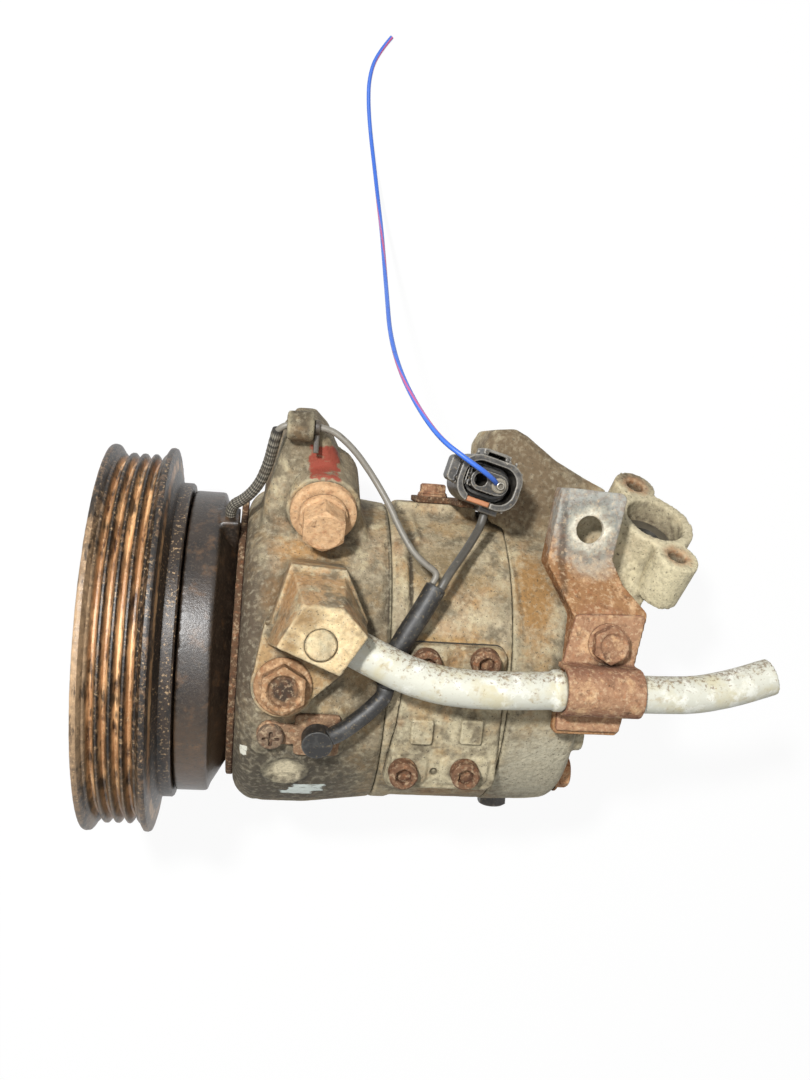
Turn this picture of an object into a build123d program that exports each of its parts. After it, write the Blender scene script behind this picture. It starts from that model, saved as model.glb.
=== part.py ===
from build123d import *
from math import atan2, cos, degrees, radians, sin, sqrt, tan
import os

# Belt-driven vane compressor of a vehicle air conditioner, with its magnetic clutch. Millimetres.
# +X runs along the shaft from the clutch to the rear, +Z points away from the mounting feet.
# The origin is on the shaft axis, in the plane of the pulley's front belt flange.

# ---- fits ----
run_gap = 0.05          # radial running clearance
fit_gap = 0.02          # radial clearance of seated parts
free_gap = 0.5          # clearance of parts that pass each other

# ---- pulley ----
groove_count = 4
groove_pitch = 3.56
groove_depth = 2.7
groove_half_angle = 20.0
rib_land = 0.7
pulley_r = 62.5
rib_r = 60.0
flange_w = 3.3
rim_x = -1.3
rim_inner_r = 50.5
rim_mouth_r = 56.5
friction_x = 6.0
friction_t = 3.5
pole_outer_r = 51.3
pole_inner_r = 46.6
pole_hub_r = 31.5
pole_rear_x = 25.5
pulley_hub_rear_x = 26.2
pulley_lip_t = 1.4
slot_r = 40.0
slot_w = 2.4
slot_bridges = 3

# ---- pulley bearing ----
bearing_bore_r = 15.0
bearing_outer_r = 26.0
bearing_w = 20.0
bearing_x = 4.0
inner_race_share = 0.3
outer_race_share = 0.2545
ball_track_depth = 0.55
ball_cage_half_t = 1.1
balls_per_row = 14
bearing_seal_t = 0.8
bearing_seal_inset = 0.4
ball_seal_gap = 1.0
circlip_t = 1.2

# ---- clutch hub and armature ----
air_gap = 0.5
armature_t = 4.5
armature_r = 49.0
armature_bore_r = 33.0
spring_t = 0.8
spring_w = 9.0
spring_count = 3
spring_sweep = 48.0
hub_flange_t = 2.0
hub_flange_r = 21.0
hub_lobe_r = 6.0
hub_rivet_pcr = 24.5
armature_rivet_pcr = 41.0
rivet_r = 2.0
rivet_head_r = 3.4
rivet_head_t = 1.0
hub_nose_x = -4.5
hub_nose_r = 13.5
hub_thread_r = 10.0
hub_thread_end_x = 0.8
hub_recess_r = 8.6
hub_floor_x = 6.5
hub_floor_t = 2.0
hub_sleeve_r = 11.5
hub_sleeve_end_x = 21.0
hub_bolt_r = 3.0
hub_bolt_af = 10.0
hub_bolt_head_t = 5.0

# ---- field coil ----
coil_gap = 0.6
coil_wall = 2.6
coil_front_x = 10.6
coil_floor_x = 28.0
coil_rear_r = 49.0
coil_rear_x = 36.0
coil_cone_r = 38.5
coil_plate_x = 41.4
coil_plate_t = 2.2
coil_plate_r = 43.6
coil_lead_angle = 30.0

# ---- housing castings ----
nose_bore_r = 12.2
nose_front_x = 1.6
nose_shoulder_r = 17.5
boss_x = 27.6
boss_r = 28.0
housing_front_r = 50.9
housing_mid_x = 54.0
housing_mid_r = 51.4
housing_front_round = 8.5
seam_seal_outer_r = 46.2
seam_seal_inner_r = 43.9
seam_groove_depth = 1.5
seam_front_x = 88.0
seam_front_r = 49.0
cylinder_len = 37.0
seam_rear_r = 48.3
rear_len = 23.5
rear_end_r = 47.2
rear_round = 4.0
rear_wall = 4.0
chamber_x = 58.0
chamber_r = 33.0
plate_t = 14.0
plate_r = 35.5
inlet_hole_r = 3.2
inlet_circle_r = 29.0
inlet_lead_angle = 28.0
inner_boss_r = 18.0
inner_boss_x = 70.0
seal_x = 27.0
seal_len = 9.0
shaft_hole_r = 9.5

# ---- pump ----
shaft_r = 8.0
spline_r = 7.0
rotor_r = 27.0
lobe_r = 33.5
lobe_angle = 60.0
vane_count = 5
vane_t = 3.6
vane_h = 15.5
vane_start_angle = 60.0
slot_floor_r = 11.0
needle_r = 1.2
needle_count = 12
needle_len = 8.0
needle_shell_r = 12.0
needle_shell_wall = 1.4
needle_bearing_len = 10.0

# ---- through bolts ----
bolt_circle_r = 39.5
bolt_angles = (62.0, 152.0, 204.0, 244.0, 330.0)
bolt_r = 3.0
bolt_af = 10.0
bolt_head_t = 5.0
bolt_flange_r = 6.6
bolt_tip_x = 72.5

# ---- discharge valve covers ----
cylinder_collar_w = 5.4
discharge_holes = 4
discharge_hole_r = 1.7
discharge_hole_pitch = 4.8
cover_tilt = 12.0
cover_seat = 44.5
cover_t = 4.5
cover_outline = ((92.8, 20.6), (122.8, 20.6), (123.8, -26.0), (88.9, -26.0), (91.8, -4.0))
cover_screws = ((94.7, -19.4), (113.5, -18.9), (98.2, 16.4), (115.7, 17.4))
cover_bosses = ((99.3, -6.4), (114.4, -5.8))
cover_pad_size = (14.4, 9.0)
cover_high_pad_size = (13.0, 8.0)
cover_boss_size = (6.6, 8.0)
cover_pad_rise = 0.8
cover_boss_rise = 1.5
cover_vent_x = 104.4
cover_vent_r = 1.2
pocket_at = (106.5, -3.0)
pocket_size = (19.0, 22.0)
cover_screw_r = 2.5
cover_screw_head_r = 4.4
cover_screw_head_t = 4.4
gasket_t = 0.6
pocket_floor = 37.0
reed_t = 0.4
stop_t = 1.2
reed_size = (17.4, 14.0)
reed_screw_r = 1.5
reed_screw_along = 5.0

# ---- pad of the lead bracket on the cylinder ----
lead_pad_at = (104.0, 47.5, 6.0)
lead_pad_size = (26.0, 6.0, 16.0)
lead_pad_face_y = 50.5

# ---- front mounting ear ----
ear_outline = ((47.5, 43.0), (48.5, 56.0), (50.6, 64.0), (53.2, 75.5), (57.0, 80.4), (62.5, 80.4),
               (66.5, 76.5), (70.5, 69.0), (75.5, 58.5), (82.5, 43.0))
ear_edge = 2.2
ear_tilt = 15.0
ear_face = 22.0
ear_back = -2.0
ear_bolt_tilt = 28.0
ear_bolt_seat = (66.0, 47.3, 39.5)
ear_bolt_r = 4.0
ear_bolt_af = 12.0
ear_bolt_head_t = 7.5
ear_bolt_len = 30.0
washer_big_r = 10.0
washer_big_t = 3.0
washer_small_r = 7.3
washer_small_t = 2.5
lead_boss_at = (71.5, 44.3)
lead_boss_r = 4.4
lead_boss_x0 = 53.5
lead_boss_x1 = 61.5

# ---- discharge fitting ----
fitting_pad_r = 9.2
fitting_neck = ((48.4, 1.0), (50.6, 15.0), (74.5, 2.5), (60.0, -11.0))
fitting_base = ((57.0, 32.5), (73.0, 31.5), (80.0, 17.0), (73.0, 3.0), (50.6, 9.0))
fitting_top = ((60.6, 23.2), (71.5, 22.7), (78.5, 15.5), (71.5, 4.6), (54.0, 11.6))
fitting_plug_at = (65.9, 12.7)
fitting_plug_r = 4.5
fitting_plug_t = 3.9
fitting_flange_r = 8.3
fitting_head_t = 8.0
fitting_seat_z = 51.5
fitting_pad_foot_z = 38.0
fitting_plate_t = 6.5
fitting_top_z = 76.0
fitting_bolt_at = (56.9, -2.4)
fitting_bolt_r = 4.0
fitting_bolt_af = 12.0
fitting_port_at = (66.0, 13.0)
fitting_port_r = 4.5
pipe_r = 5.5
pipe_bore_r = 4.2
pipe_z = 62.0
collar_back = 1.8
collar_rise = 0.6
collar_w = 2.4

# ---- thermal protector ----
protector_angle = 20.5
protector_seat = 51.6
protector_x = 68.0
protector_plate_t = 1.5
protector_plate_size = (13.4, 14.0)
protector_tongue_r = 4.2
protector_neck_r = 3.1
protector_head_r = 3.9
protector_head_t = 2.6
protector_screw_x = 54.5
protector_screw_r = 2.5
protector_r = 5.6
protector_pad_x = 62.5
protector_pad_foot = 43.0
protector_pad_size = (27.0, 17.0)
blank_boss_tilt = 37.0
blank_boss_x = 59.5
blank_boss_r = 7.2
blank_boss_top = 52.4
blank_boss_dish_r = 5.6
blank_boss_dish = 1.0

# ---- pipe bracket ----
bracket_t = 2.6
lead_bracket_screw_x = 103.6
lead_bracket_screw_z = 5.0
lead_screw_r = 2.5
bracket_seat_z = 52.0
bracket_tab_z = 41.0
bracket_hole_at = (147.0, 46.8)
bracket_hole_r = 4.25
bracket_bolt_at = (151.2, 14.4)
bracket_bolt_r = 3.0
bracket_slope = (36.5, 22.5)
bracket_end_y = -13.9
bracket_tab_y = 59.5
bracket_outline = ((137.4, 59.2), (158.2, 58.4), (154.8, 38.0), (157.0, 31.0), (163.4, 23.4), (160.4, 6.0),
                   (157.4, -13.6), (136.8, -13.8), (137.6, -2.0), (139.0, 6.0), (141.0, 21.0), (134.4, 35.8))
bracket_edge_outline = ((137.4, 59.0), (134.4, 35.8), (141.0, 21.0), (139.0, 4.0), (141.4, 4.0),
                        (143.4, 21.3), (136.9, 36.2), (139.8, 59.0))
bracket_edge_drop = 6.0
bracket_edge_end_y = 4.0
bracket_bolt_af = 10.0
bracket_bolt_head_t = 5.5
bracket_bolt_flange_r = 5.9
clamp_ear = ((138.2, 7.5), (160.0, 7.5), (162.6, 23.2), (141.2, 22.4))
clamp_foot = ((137.8, -12.4), (157.0, -12.4), (158.4, -5.5), (137.8, -5.5))
clamp_t = 1.6
clamp_x0 = 137.2
clamp_x1 = 160.2
clamp_y = 0.8

# ---- rear head ----
rear_ear_outline = ((124.0, 38.0), (119.0, 50.0), (117.8, 59.0), (117.2, 71.0), (119.6, 75.6),
                    (127.0, 76.4), (131.0, 74.4), (141.0, 67.2), (150.0, 62.6), (158.0, 59.0),
                    (163.0, 50.0), (148.0, 36.0))
rear_ear_z = -6.0
rear_ear_t = 28.0
rear_ear_edge = 2.4
rear_ear_screw_at = (129.0, 66.0)
rear_ear_screw_r = 4.0
rear_ear_screw_depth = 15.0
port_neck_outline = ((140.0, 6.0), (151.0, 6.0), (170.0, 20.0), (176.0, 33.0), (170.0, 50.0),
                     (160.0, 56.0), (140.0, 48.0))
port_neck_z = 2.0
port_neck_t = 25.0
rear_boss_angle = 118.0
rear_boss_circle_r = 38.5
rear_boss_r = 5.6
bracket_boss_at = (150.5, 11.0)
bracket_boss_size = (13.0, 20.0)
bracket_boss_foot_z = 42.6
oil_plug_at = (134.0, -46.6, -5.0)
oil_plug_r = 4.0
oil_plug_seat_r = 6.6

# ---- suction port ----
port_at = (175.2, 50.6, 22.0)
port_normal = (0.15, 0.80, 0.58)
port_long = (0.18, -0.595, 0.768)
port_bore_r = 9.8
port_bore_depth = 8.6
valve_seat_t = 1.4
valve_seat_r = 9.5
port_wall_r = 13.2
port_screw_offset = 17.6
port_screw_r = 3.0
port_screw_depth = 12.0
port_lug_r = 7.2
port_depth = 20.0
port_lug_depth = 17.0
valve_bore_r = 8.0
valve_bore_depth = 16.0
suction_way_r = 4.5
suction_way = ((166.0, 30.0, 12.0), (142.0, 18.0, 5.0))

# ---- feet ----
foot_y = 26.0
foot_r = 4.0
foot_pad_r = 8.5
foot_front_x = 65.0
foot_rear_x = 137.0
foot_depth = 15.0
foot_web_rise = 8.0
foot_web_w = 9.0
front_foot_top_z = -44.0
rear_foot_top_z = -40.0

# ---- connector ----
connector_at = (113.6, 59.0, 31.0)
connector_turn = -15.0
shell_size = (19.0, 14.6)
shell_h = 19.0
shell_corner_r = 5.5
shell_wall = 1.7
socket_floor = 9.0
tower_size = (11.6, 6.4)
tower_top = 18.4
contact_r = 1.9
contact_offset = 2.8
contact_floor = 4.0
lock_y = -6.35
lock_x = -1.5
lock_size = (7.2, 1.5)
lock_h = 8.2
latch_y = 7.9
latch_size = (8.6, 3.0)
latch_slot_size = (5.4, 1.4)
lead_strip_t = 2.0
lead_strip_y = 51.5

# ---- leads ----
lead_r = 1.0
plug_lead_r = 1.3
braid_r = 1.75
sleeve_r = 3.2
cable_r = 2.6
boot_r = 4.6
boot_h = 4.8
wire_r = 0.75

# ---- places that follow from the sizes above ----
floor_z = -pulley_r
rim_rear_x = rim_x + 2 * flange_w + groove_count * groove_pitch
channel_x = friction_x + friction_t
armature_rear_x = friction_x - air_gap
armature_x = armature_rear_x - armature_t
spring_x = armature_x - spring_t
hub_flange_x = spring_x - hub_flange_t
shaft_front_x = hub_floor_x + hub_floor_t
coil_outer_r = pole_inner_r - coil_gap
coil_inner_r = pole_hub_r + coil_gap
front_face_x = coil_plate_x + coil_plate_t
seam_rear_x = seam_front_x + cylinder_len
rear_x = seam_rear_x + rear_len
front_plate_x = seam_front_x - plate_t
rear_plate_end_x = seam_rear_x + plate_t
shaft_end_x = rear_plate_end_x - 2.0
bearing_section = bearing_outer_r - bearing_bore_r
race_inner_r = bearing_bore_r + inner_race_share * bearing_section
race_outer_r = bearing_outer_r - outer_race_share * bearing_section
ball_pitch_r = (race_inner_r + race_outer_r) / 2
ball_r = (race_outer_r - race_inner_r) / 2 + ball_track_depth
ball_row_offset = bearing_w / 2 - bearing_seal_inset - bearing_seal_t - ball_seal_gap - ball_r
bearing_mid_x = bearing_x + bearing_w / 2
cover_top = cover_seat + cover_t


def across(x):
    """A plane across the shaft at x: its own x and y are the row's Y and Z."""
    return Plane(origin=(x, 0, 0), x_dir=(0, 1, 0), z_dir=(1, 0, 0))


def upward(z):
    """A level plane at height z."""
    return Plane(origin=(0, 0, z))


def tilted(angle, x=0.0, side=0.0, height=0.0):
    """A plane whose normal leans from +Z towards -Y by angle, at a place along X, its side and its height."""
    a = radians(angle)
    out = Vector(0, -sin(a), cos(a))
    along = Vector(0, cos(a), sin(a))
    return Plane(origin=Vector(x, 0, 0) + along * side + out * height, x_dir=(1, 0, 0), z_dir=out)


def turned(points, rounds=()):
    """A solid turned about the shaft from (x, radius) points; rounds gives (point number, radius) pairs."""
    outline = make_face(Polyline(*points, close=True))
    for number, radius in rounds:
        x, r = points[number]
        corner = [v for v in outline.vertices() if abs(v.X - x) + abs(v.Y - r) < 1e-6]
        outline = fillet(corner, radius)
    return revolve(outline, axis=Axis.X, revolution_arc=360)


def ring(x0, x1, outer, inner=0.0):
    """A ring or disc about the shaft."""
    face = Circle(outer) - Circle(inner) if inner else Circle(outer)
    return extrude(across(x0) * face, x1 - x0)


def rod(plane, radius, length, start=0.0):
    """A cylinder along a plane's normal."""
    return extrude(plane.offset(start) * Circle(radius), length)


def tube(plane, outer, inner, length, start=0.0):
    return extrude(plane.offset(start) * (Circle(outer) - Circle(inner)), length)


def prism(plane, points, length, start=0.0, rounding=0.0):
    outline = make_face(Polyline(*points, close=True))
    if rounding:
        outline = fillet(outline.vertices(), rounding)
    return extrude(plane.offset(start) * outline, length)


def hex_head(plane, across_flats, height, washer_r=0.0, washer_t=0.0):
    """A hexagon head with its corners turned off at the top, on an optional washer flange."""
    blank = extrude(plane * RegularPolygon(across_flats / 2, 6, major_radius=False), height)
    round_blank = rod(plane, across_flats / sqrt(3) + 0.01, height)
    head = blank & chamfer(top_edges(round_blank, plane), 0.09 * across_flats)
    if washer_r:
        head += rod(plane, washer_r, washer_t)
    return head


def top_edges(shape, plane):
    """The edges that lie furthest along a plane's normal."""
    reach = [(plane.to_local_coords(e.center()).Z, e) for e in shape.edges()]
    furthest = max(z for z, e in reach)
    return [e for z, e in reach if z > furthest - 1e-4]


def bolt(plane, shank_r, shank_len, across_flats, head_t, washer_r=0.0, washer_t=0.0):
    """A hexagon bolt whose head stands on the plane and whose shank goes down from it."""
    head = hex_head(plane, across_flats, head_t, washer_r, washer_t)
    return head + rod(plane, shank_r, shank_len, -shank_len)


def cap_screw(plane, shank_r, shank_len, head_r, head_t):
    """A socket cap screw standing on the plane."""
    head = rod(plane, head_r, head_t)
    head = chamfer(top_edges(head, plane), 0.5)
    socket = extrude(plane.offset(head_t * 0.45) * RegularPolygon(head_r * 0.5, 6, major_radius=False), head_t)
    return head - socket + rod(plane, shank_r, shank_len, -shank_len)


def around(angle, radius, x):
    """A plane across the shaft, centred on a circle about it."""
    a = radians(angle)
    return Plane(origin=(x, radius * cos(a), radius * sin(a)), x_dir=(0, 1, 0), z_dir=(1, 0, 0))


def group(parts):
    return Compound(children=[solid for part in parts for solid in part.solids()])


def bend_radii(points):
    """One arc radius for each corner of a route, as large as its two runs allow."""
    radii = []
    for before, corner, after in zip(points, points[1:], points[2:]):
        run_in = Vector(*corner) - Vector(*before)
        run_out = Vector(*after) - Vector(*corner)
        half_turn = radians(run_in.get_angle(run_out)) / 2
        radii.append(0.45 * min(run_in.length, run_out.length) / tan(half_turn))
    return radii


def route(points):
    return FilletPolyline(*points, radius=bend_radii(points))


def run_tube(points, outer, inner=0.0, label=""):
    """A round tube along straight runs joined by tangent arcs."""
    path = route(points)
    start = Plane(origin=points[0], z_dir=Vector(*points[1]) - Vector(*points[0]))
    section = Circle(outer) - Circle(inner) if inner else Circle(outer)
    solid = sweep(start * section, path=path)
    if label:
        ratio = solid.volume / (section.area * path.length)
        print(label, "length", round(path.length, 1), "least radius", round(min(bend_radii(points)), 1),
              "volume over section times length", round(ratio, 4))
    return solid


# ------------------------------------------------------------------ clutch
def make_pulley():
    """Grooved rim, friction face and the two pole rings in one forging."""
    points = [
        (rim_x, rim_mouth_r),
        (rim_x, pulley_r - 1.2),
        (rim_x + 0.8, pulley_r),
        (rim_x + flange_w - 1.4, pulley_r),
        (rim_x + flange_w, rib_r),
    ]
    groove_top = (groove_pitch - rib_land) / 2
    groove_floor = groove_top - groove_depth * tan(radians(groove_half_angle))
    for number in range(groove_count):
        middle = rim_x + flange_w + groove_pitch * (number + 0.5)
        points += [
            (middle - groove_top, rib_r),
            (middle - groove_floor, rib_r - groove_depth),
            (middle + groove_floor, rib_r - groove_depth),
            (middle + groove_top, rib_r),
        ]
    lip_r = race_outer_r + 0.6
    points += [
        (rim_rear_x - flange_w, rib_r),
        (rim_rear_x - flange_w + 1.4, pulley_r),
        (rim_rear_x - 0.8, pulley_r),
        (rim_rear_x, pulley_r - 1.2),
        (rim_rear_x + 0.7, pole_outer_r + 3.6),
        (rim_rear_x + 2.2, pole_outer_r),
        (pole_rear_x, pole_outer_r),
        (pole_rear_x, pole_inner_r),
        (channel_x, pole_inner_r),
        (channel_x, pole_hub_r),
        (pulley_hub_rear_x, pole_hub_r),
        (pulley_hub_rear_x, bearing_outer_r + fit_gap),
        (bearing_x, bearing_outer_r + fit_gap),
        (bearing_x, lip_r),
        (bearing_x - pulley_lip_t, lip_r),
        (bearing_x - pulley_lip_t, pole_hub_r),
        (friction_x, armature_bore_r - free_gap),
        (friction_x, rim_inner_r),
        (rim_x + flange_w - 1.5, rim_inner_r),
    ]
    body = turned(points)
    slots = ring(friction_x - 1, channel_x + 1, slot_r + slot_w / 2, slot_r - slot_w / 2)
    for number in range(slot_bridges):
        bar = extrude(across(friction_x - 2) * Rot(0, 0, 180 / slot_bridges * number)
                      * Rectangle(3 * slot_r, 9.0), friction_t + 4)
        slots -= bar
    circlip_groove = ring(bearing_x + bearing_w, bearing_x + bearing_w + 1.3,
                          bearing_outer_r + 1.3, bearing_outer_r - 1)
    return body - slots - circlip_groove


def ball_places():
    for row in (-ball_row_offset, ball_row_offset):
        for number in range(balls_per_row):
            angle = radians(360 / balls_per_row * number)
            yield (bearing_mid_x + row, ball_pitch_r * cos(angle), ball_pitch_r * sin(angle))


def make_pulley_bearing():
    """Two rows of balls in one cage between an inner and an outer ring, with a seal at each end."""
    outer = ring(bearing_x, bearing_x + bearing_w, bearing_outer_r, race_outer_r)
    inner = ring(bearing_x, bearing_x + bearing_w, race_inner_r, bearing_bore_r + fit_gap)
    for row in (-ball_row_offset, ball_row_offset):
        track = Pos(bearing_mid_x + row, 0, 0) * Rot(0, 90, 0) * Torus(ball_pitch_r, ball_r + run_gap)
        outer -= track
        inner -= track
    save("pulley_bearing_outer_ring", outer)
    save("pulley_bearing_inner_ring", inner)
    balls = [Pos(*place) * Sphere(ball_r) for place in ball_places()]
    reach = ball_row_offset + ball_r + 0.5
    cage = ring(bearing_mid_x - reach, bearing_mid_x + reach, ball_pitch_r + ball_cage_half_t,
                ball_pitch_r - ball_cage_half_t)
    for place in ball_places():
        cage -= Pos(*place) * Sphere(ball_r + 3 * run_gap)
    save("pulley_bearing_balls", group(balls + [cage]))
    seals = [
        ring(x, x + bearing_seal_t, race_outer_r - run_gap, race_inner_r + 0.2)
        for x in (bearing_x + bearing_seal_inset, bearing_x + bearing_w - bearing_seal_inset - bearing_seal_t)
    ]
    save("pulley_bearing_seals", group(seals))


def make_circlips():
    """The snap rings of the bearing in the pulley, the pulley on the nose, the coil and the seal."""
    def snap_ring(x, thick, outer, inner, gap_angle):
        opening = extrude(across(x - 1) * Rot(0, 0, gap_angle) * Pos(outer, 0) * Rectangle(outer, 5), thick + 2)
        return ring(x, x + thick, outer, inner) - opening

    in_pulley = snap_ring(bearing_x + bearing_w + run_gap, circlip_t, bearing_outer_r + 1.2,
                          bearing_outer_r - 2.0, 90)
    on_nose = snap_ring(bearing_x - 1.25, circlip_t, bearing_bore_r + 2.3, bearing_bore_r - 0.75, 90)
    on_boss = snap_ring(coil_plate_x - 1.35, circlip_t + 0.1, boss_r + 3.4, boss_r - 1.15, 90)
    in_seal_bore = snap_ring(seal_x - 1.25, circlip_t, nose_bore_r + 0.8, nose_bore_r - 2.0, 270)
    save("bearing_circlip", in_pulley)
    save("housing_circlips", group([on_nose, on_boss, in_seal_bore]))


def polar(angle, radius):
    a = radians(angle)
    return radius * cos(a), radius * sin(a)


def spring_angles():
    return [90 + 360 / spring_count * number for number in range(spring_count)]


def make_clutch_hub():
    """Threaded nose for the puller, lobed flange and the splined sleeve."""
    flange = ring(hub_flange_x, spring_x, hub_flange_r, hub_sleeve_r - 1)
    for angle in spring_angles():
        lobe = across(hub_flange_x) * Pos(*polar(angle, hub_rivet_pcr)) * Circle(hub_lobe_r)
        flange += extrude(lobe, hub_flange_t)
    body = ring(hub_nose_x, hub_flange_x, hub_nose_r) + flange
    body += ring(hub_flange_x, hub_sleeve_end_x, hub_sleeve_r)
    body -= ring(hub_nose_x, hub_thread_end_x, hub_thread_r)
    body -= ring(hub_thread_end_x, hub_floor_x, hub_recess_r)
    body -= ring(hub_floor_x - 1, hub_floor_x + hub_floor_t + 1, hub_bolt_r + 0.3)
    body -= ring(hub_floor_x + hub_floor_t, hub_sleeve_end_x, spline_r + fit_gap)
    for angle in spring_angles():
        rivet = Pos(*polar(angle, hub_rivet_pcr))
        body += extrude(across(hub_flange_x - rivet_head_t) * rivet * Circle(rivet_head_r), rivet_head_t)
        body += extrude(across(spring_x - 0.1) * rivet * Circle(rivet_r), spring_t + 0.2)
        body += extrude(across(armature_x) * rivet * Circle(rivet_head_r), rivet_head_t * 0.7)
    return body


def make_armature():
    plate = ring(armature_x, armature_rear_x, armature_r, armature_bore_r)
    springs = []
    for angle in spring_angles():
        hub_end = Vector(*polar(angle, hub_rivet_pcr))
        far_end = Vector(*polar(angle + spring_sweep, armature_rivet_pcr))
        plate += extrude(across(spring_x - rivet_head_t) * Pos(far_end.X, far_end.Y) * Circle(rivet_head_r),
                         rivet_head_t)
        plate += extrude(across(spring_x - 0.1) * Pos(far_end.X, far_end.Y) * Circle(rivet_r), spring_t + 0.2)
        span = far_end - hub_end
        middle = (far_end + hub_end) / 2
        turn = degrees(atan2(span.Y, span.X))
        leaf = Pos(middle.X, middle.Y) * Rot(0, 0, turn) * SlotCenterToCenter(span.length, spring_w)
        for end in (hub_end, far_end):
            leaf -= Pos(end.X, end.Y) * Circle(rivet_r + run_gap)
        springs.append(extrude(across(spring_x) * leaf, spring_t))
    save("armature_plate", plate)
    save("leaf_springs", group(springs))


def make_hub_fasteners():
    seat = Plane(origin=(hub_floor_x, 0, 0), x_dir=(0, 1, 0), z_dir=(-1, 0, 0))
    save("hub_bolt", bolt(seat, hub_bolt_r, 18.0, hub_bolt_af, hub_bolt_head_t, hub_bolt_af * 0.72, 1.2))


def make_coil():
    """Steel shell open to the front, the potted winding in it and the plate that holds it to the housing."""
    points = [
        (coil_front_x, coil_inner_r),
        (coil_front_x, coil_inner_r + coil_wall),
        (coil_floor_x, coil_inner_r + coil_wall),
        (coil_floor_x, coil_outer_r - coil_wall),
        (coil_front_x, coil_outer_r - coil_wall),
        (coil_front_x, coil_outer_r),
        (pole_rear_x + coil_gap, coil_outer_r),
        (pole_rear_x + coil_gap, coil_rear_r),
        (coil_rear_x, coil_rear_r),
        (coil_rear_x + 0.6, coil_rear_r - 2.2),
        (coil_plate_x, coil_cone_r),
        (coil_plate_x, coil_inner_r),
    ]
    shell = turned(points, rounds=[(8, 0.8)])
    outlet = tilted(coil_lead_angle - 90, coil_plate_x - 3.0, 0, coil_cone_r)
    shell += extrude(outlet * Rectangle(5.9, 9.0), coil_rear_r + 1.0 - coil_cone_r)
    save("field_coil_shell", shell)
    save("field_coil_winding", ring(coil_front_x + 0.8, coil_floor_x, coil_outer_r - coil_wall - run_gap,
                                    coil_inner_r + coil_wall + run_gap))
    plate = ring(coil_plate_x, front_face_x, coil_plate_r, boss_r + fit_gap)
    lug = tilted(-90, (coil_plate_x + front_face_x) / 2, 0, coil_plate_r - 2)
    plate += extrude(lug * Rectangle(coil_plate_t, 10.0), 8.0)
    save("field_coil_plate", plate)


# ------------------------------------------------------------------ housing
def foot_pads(x, top_z):
    """Two tapped feet under a casting, at the level that the compressor stands on."""
    pads = []
    for side in (-foot_y, foot_y):
        pads.append(rod(Plane(origin=(x, side, floor_z)), foot_pad_r, top_z - floor_z))
    web_foot_z = floor_z + foot_web_rise
    web = Pos(x, 0, (web_foot_z + top_z) / 2) * Box(foot_web_w, 2 * foot_y, top_z - web_foot_z)
    return pads[0] + pads[1] + web


def drilled_feet(body, x):
    for side in (-foot_y, foot_y):
        body -= rod(Plane(origin=(x, side, floor_z)), foot_r, foot_depth)
    return body


def through_bolt_bores(body, start_x, end_x, radius):
    for angle in bolt_angles:
        body -= rod(around(angle, bolt_circle_r, start_x), radius, end_x - start_x)
    return body


def ear_plane():
    return tilted(ear_tilt)


def ear_bolt_plane(height=0.0):
    a = radians(ear_bolt_tilt)
    out = Vector(0, -sin(a), cos(a))
    return Plane(origin=Vector(*ear_bolt_seat) + out * height, x_dir=(1, 0, 0), z_dir=out)


def fitting_outline():
    """The foot of the discharge fitting: a round bolt pad run into the block's flared base."""
    pad = Pos(*fitting_bolt_at) * Circle(fitting_pad_r)
    body = make_face(Polyline(*fitting_base, close=True))
    neck = make_face(Polyline(*fitting_neck, close=True))
    return pad + neck + body


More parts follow.
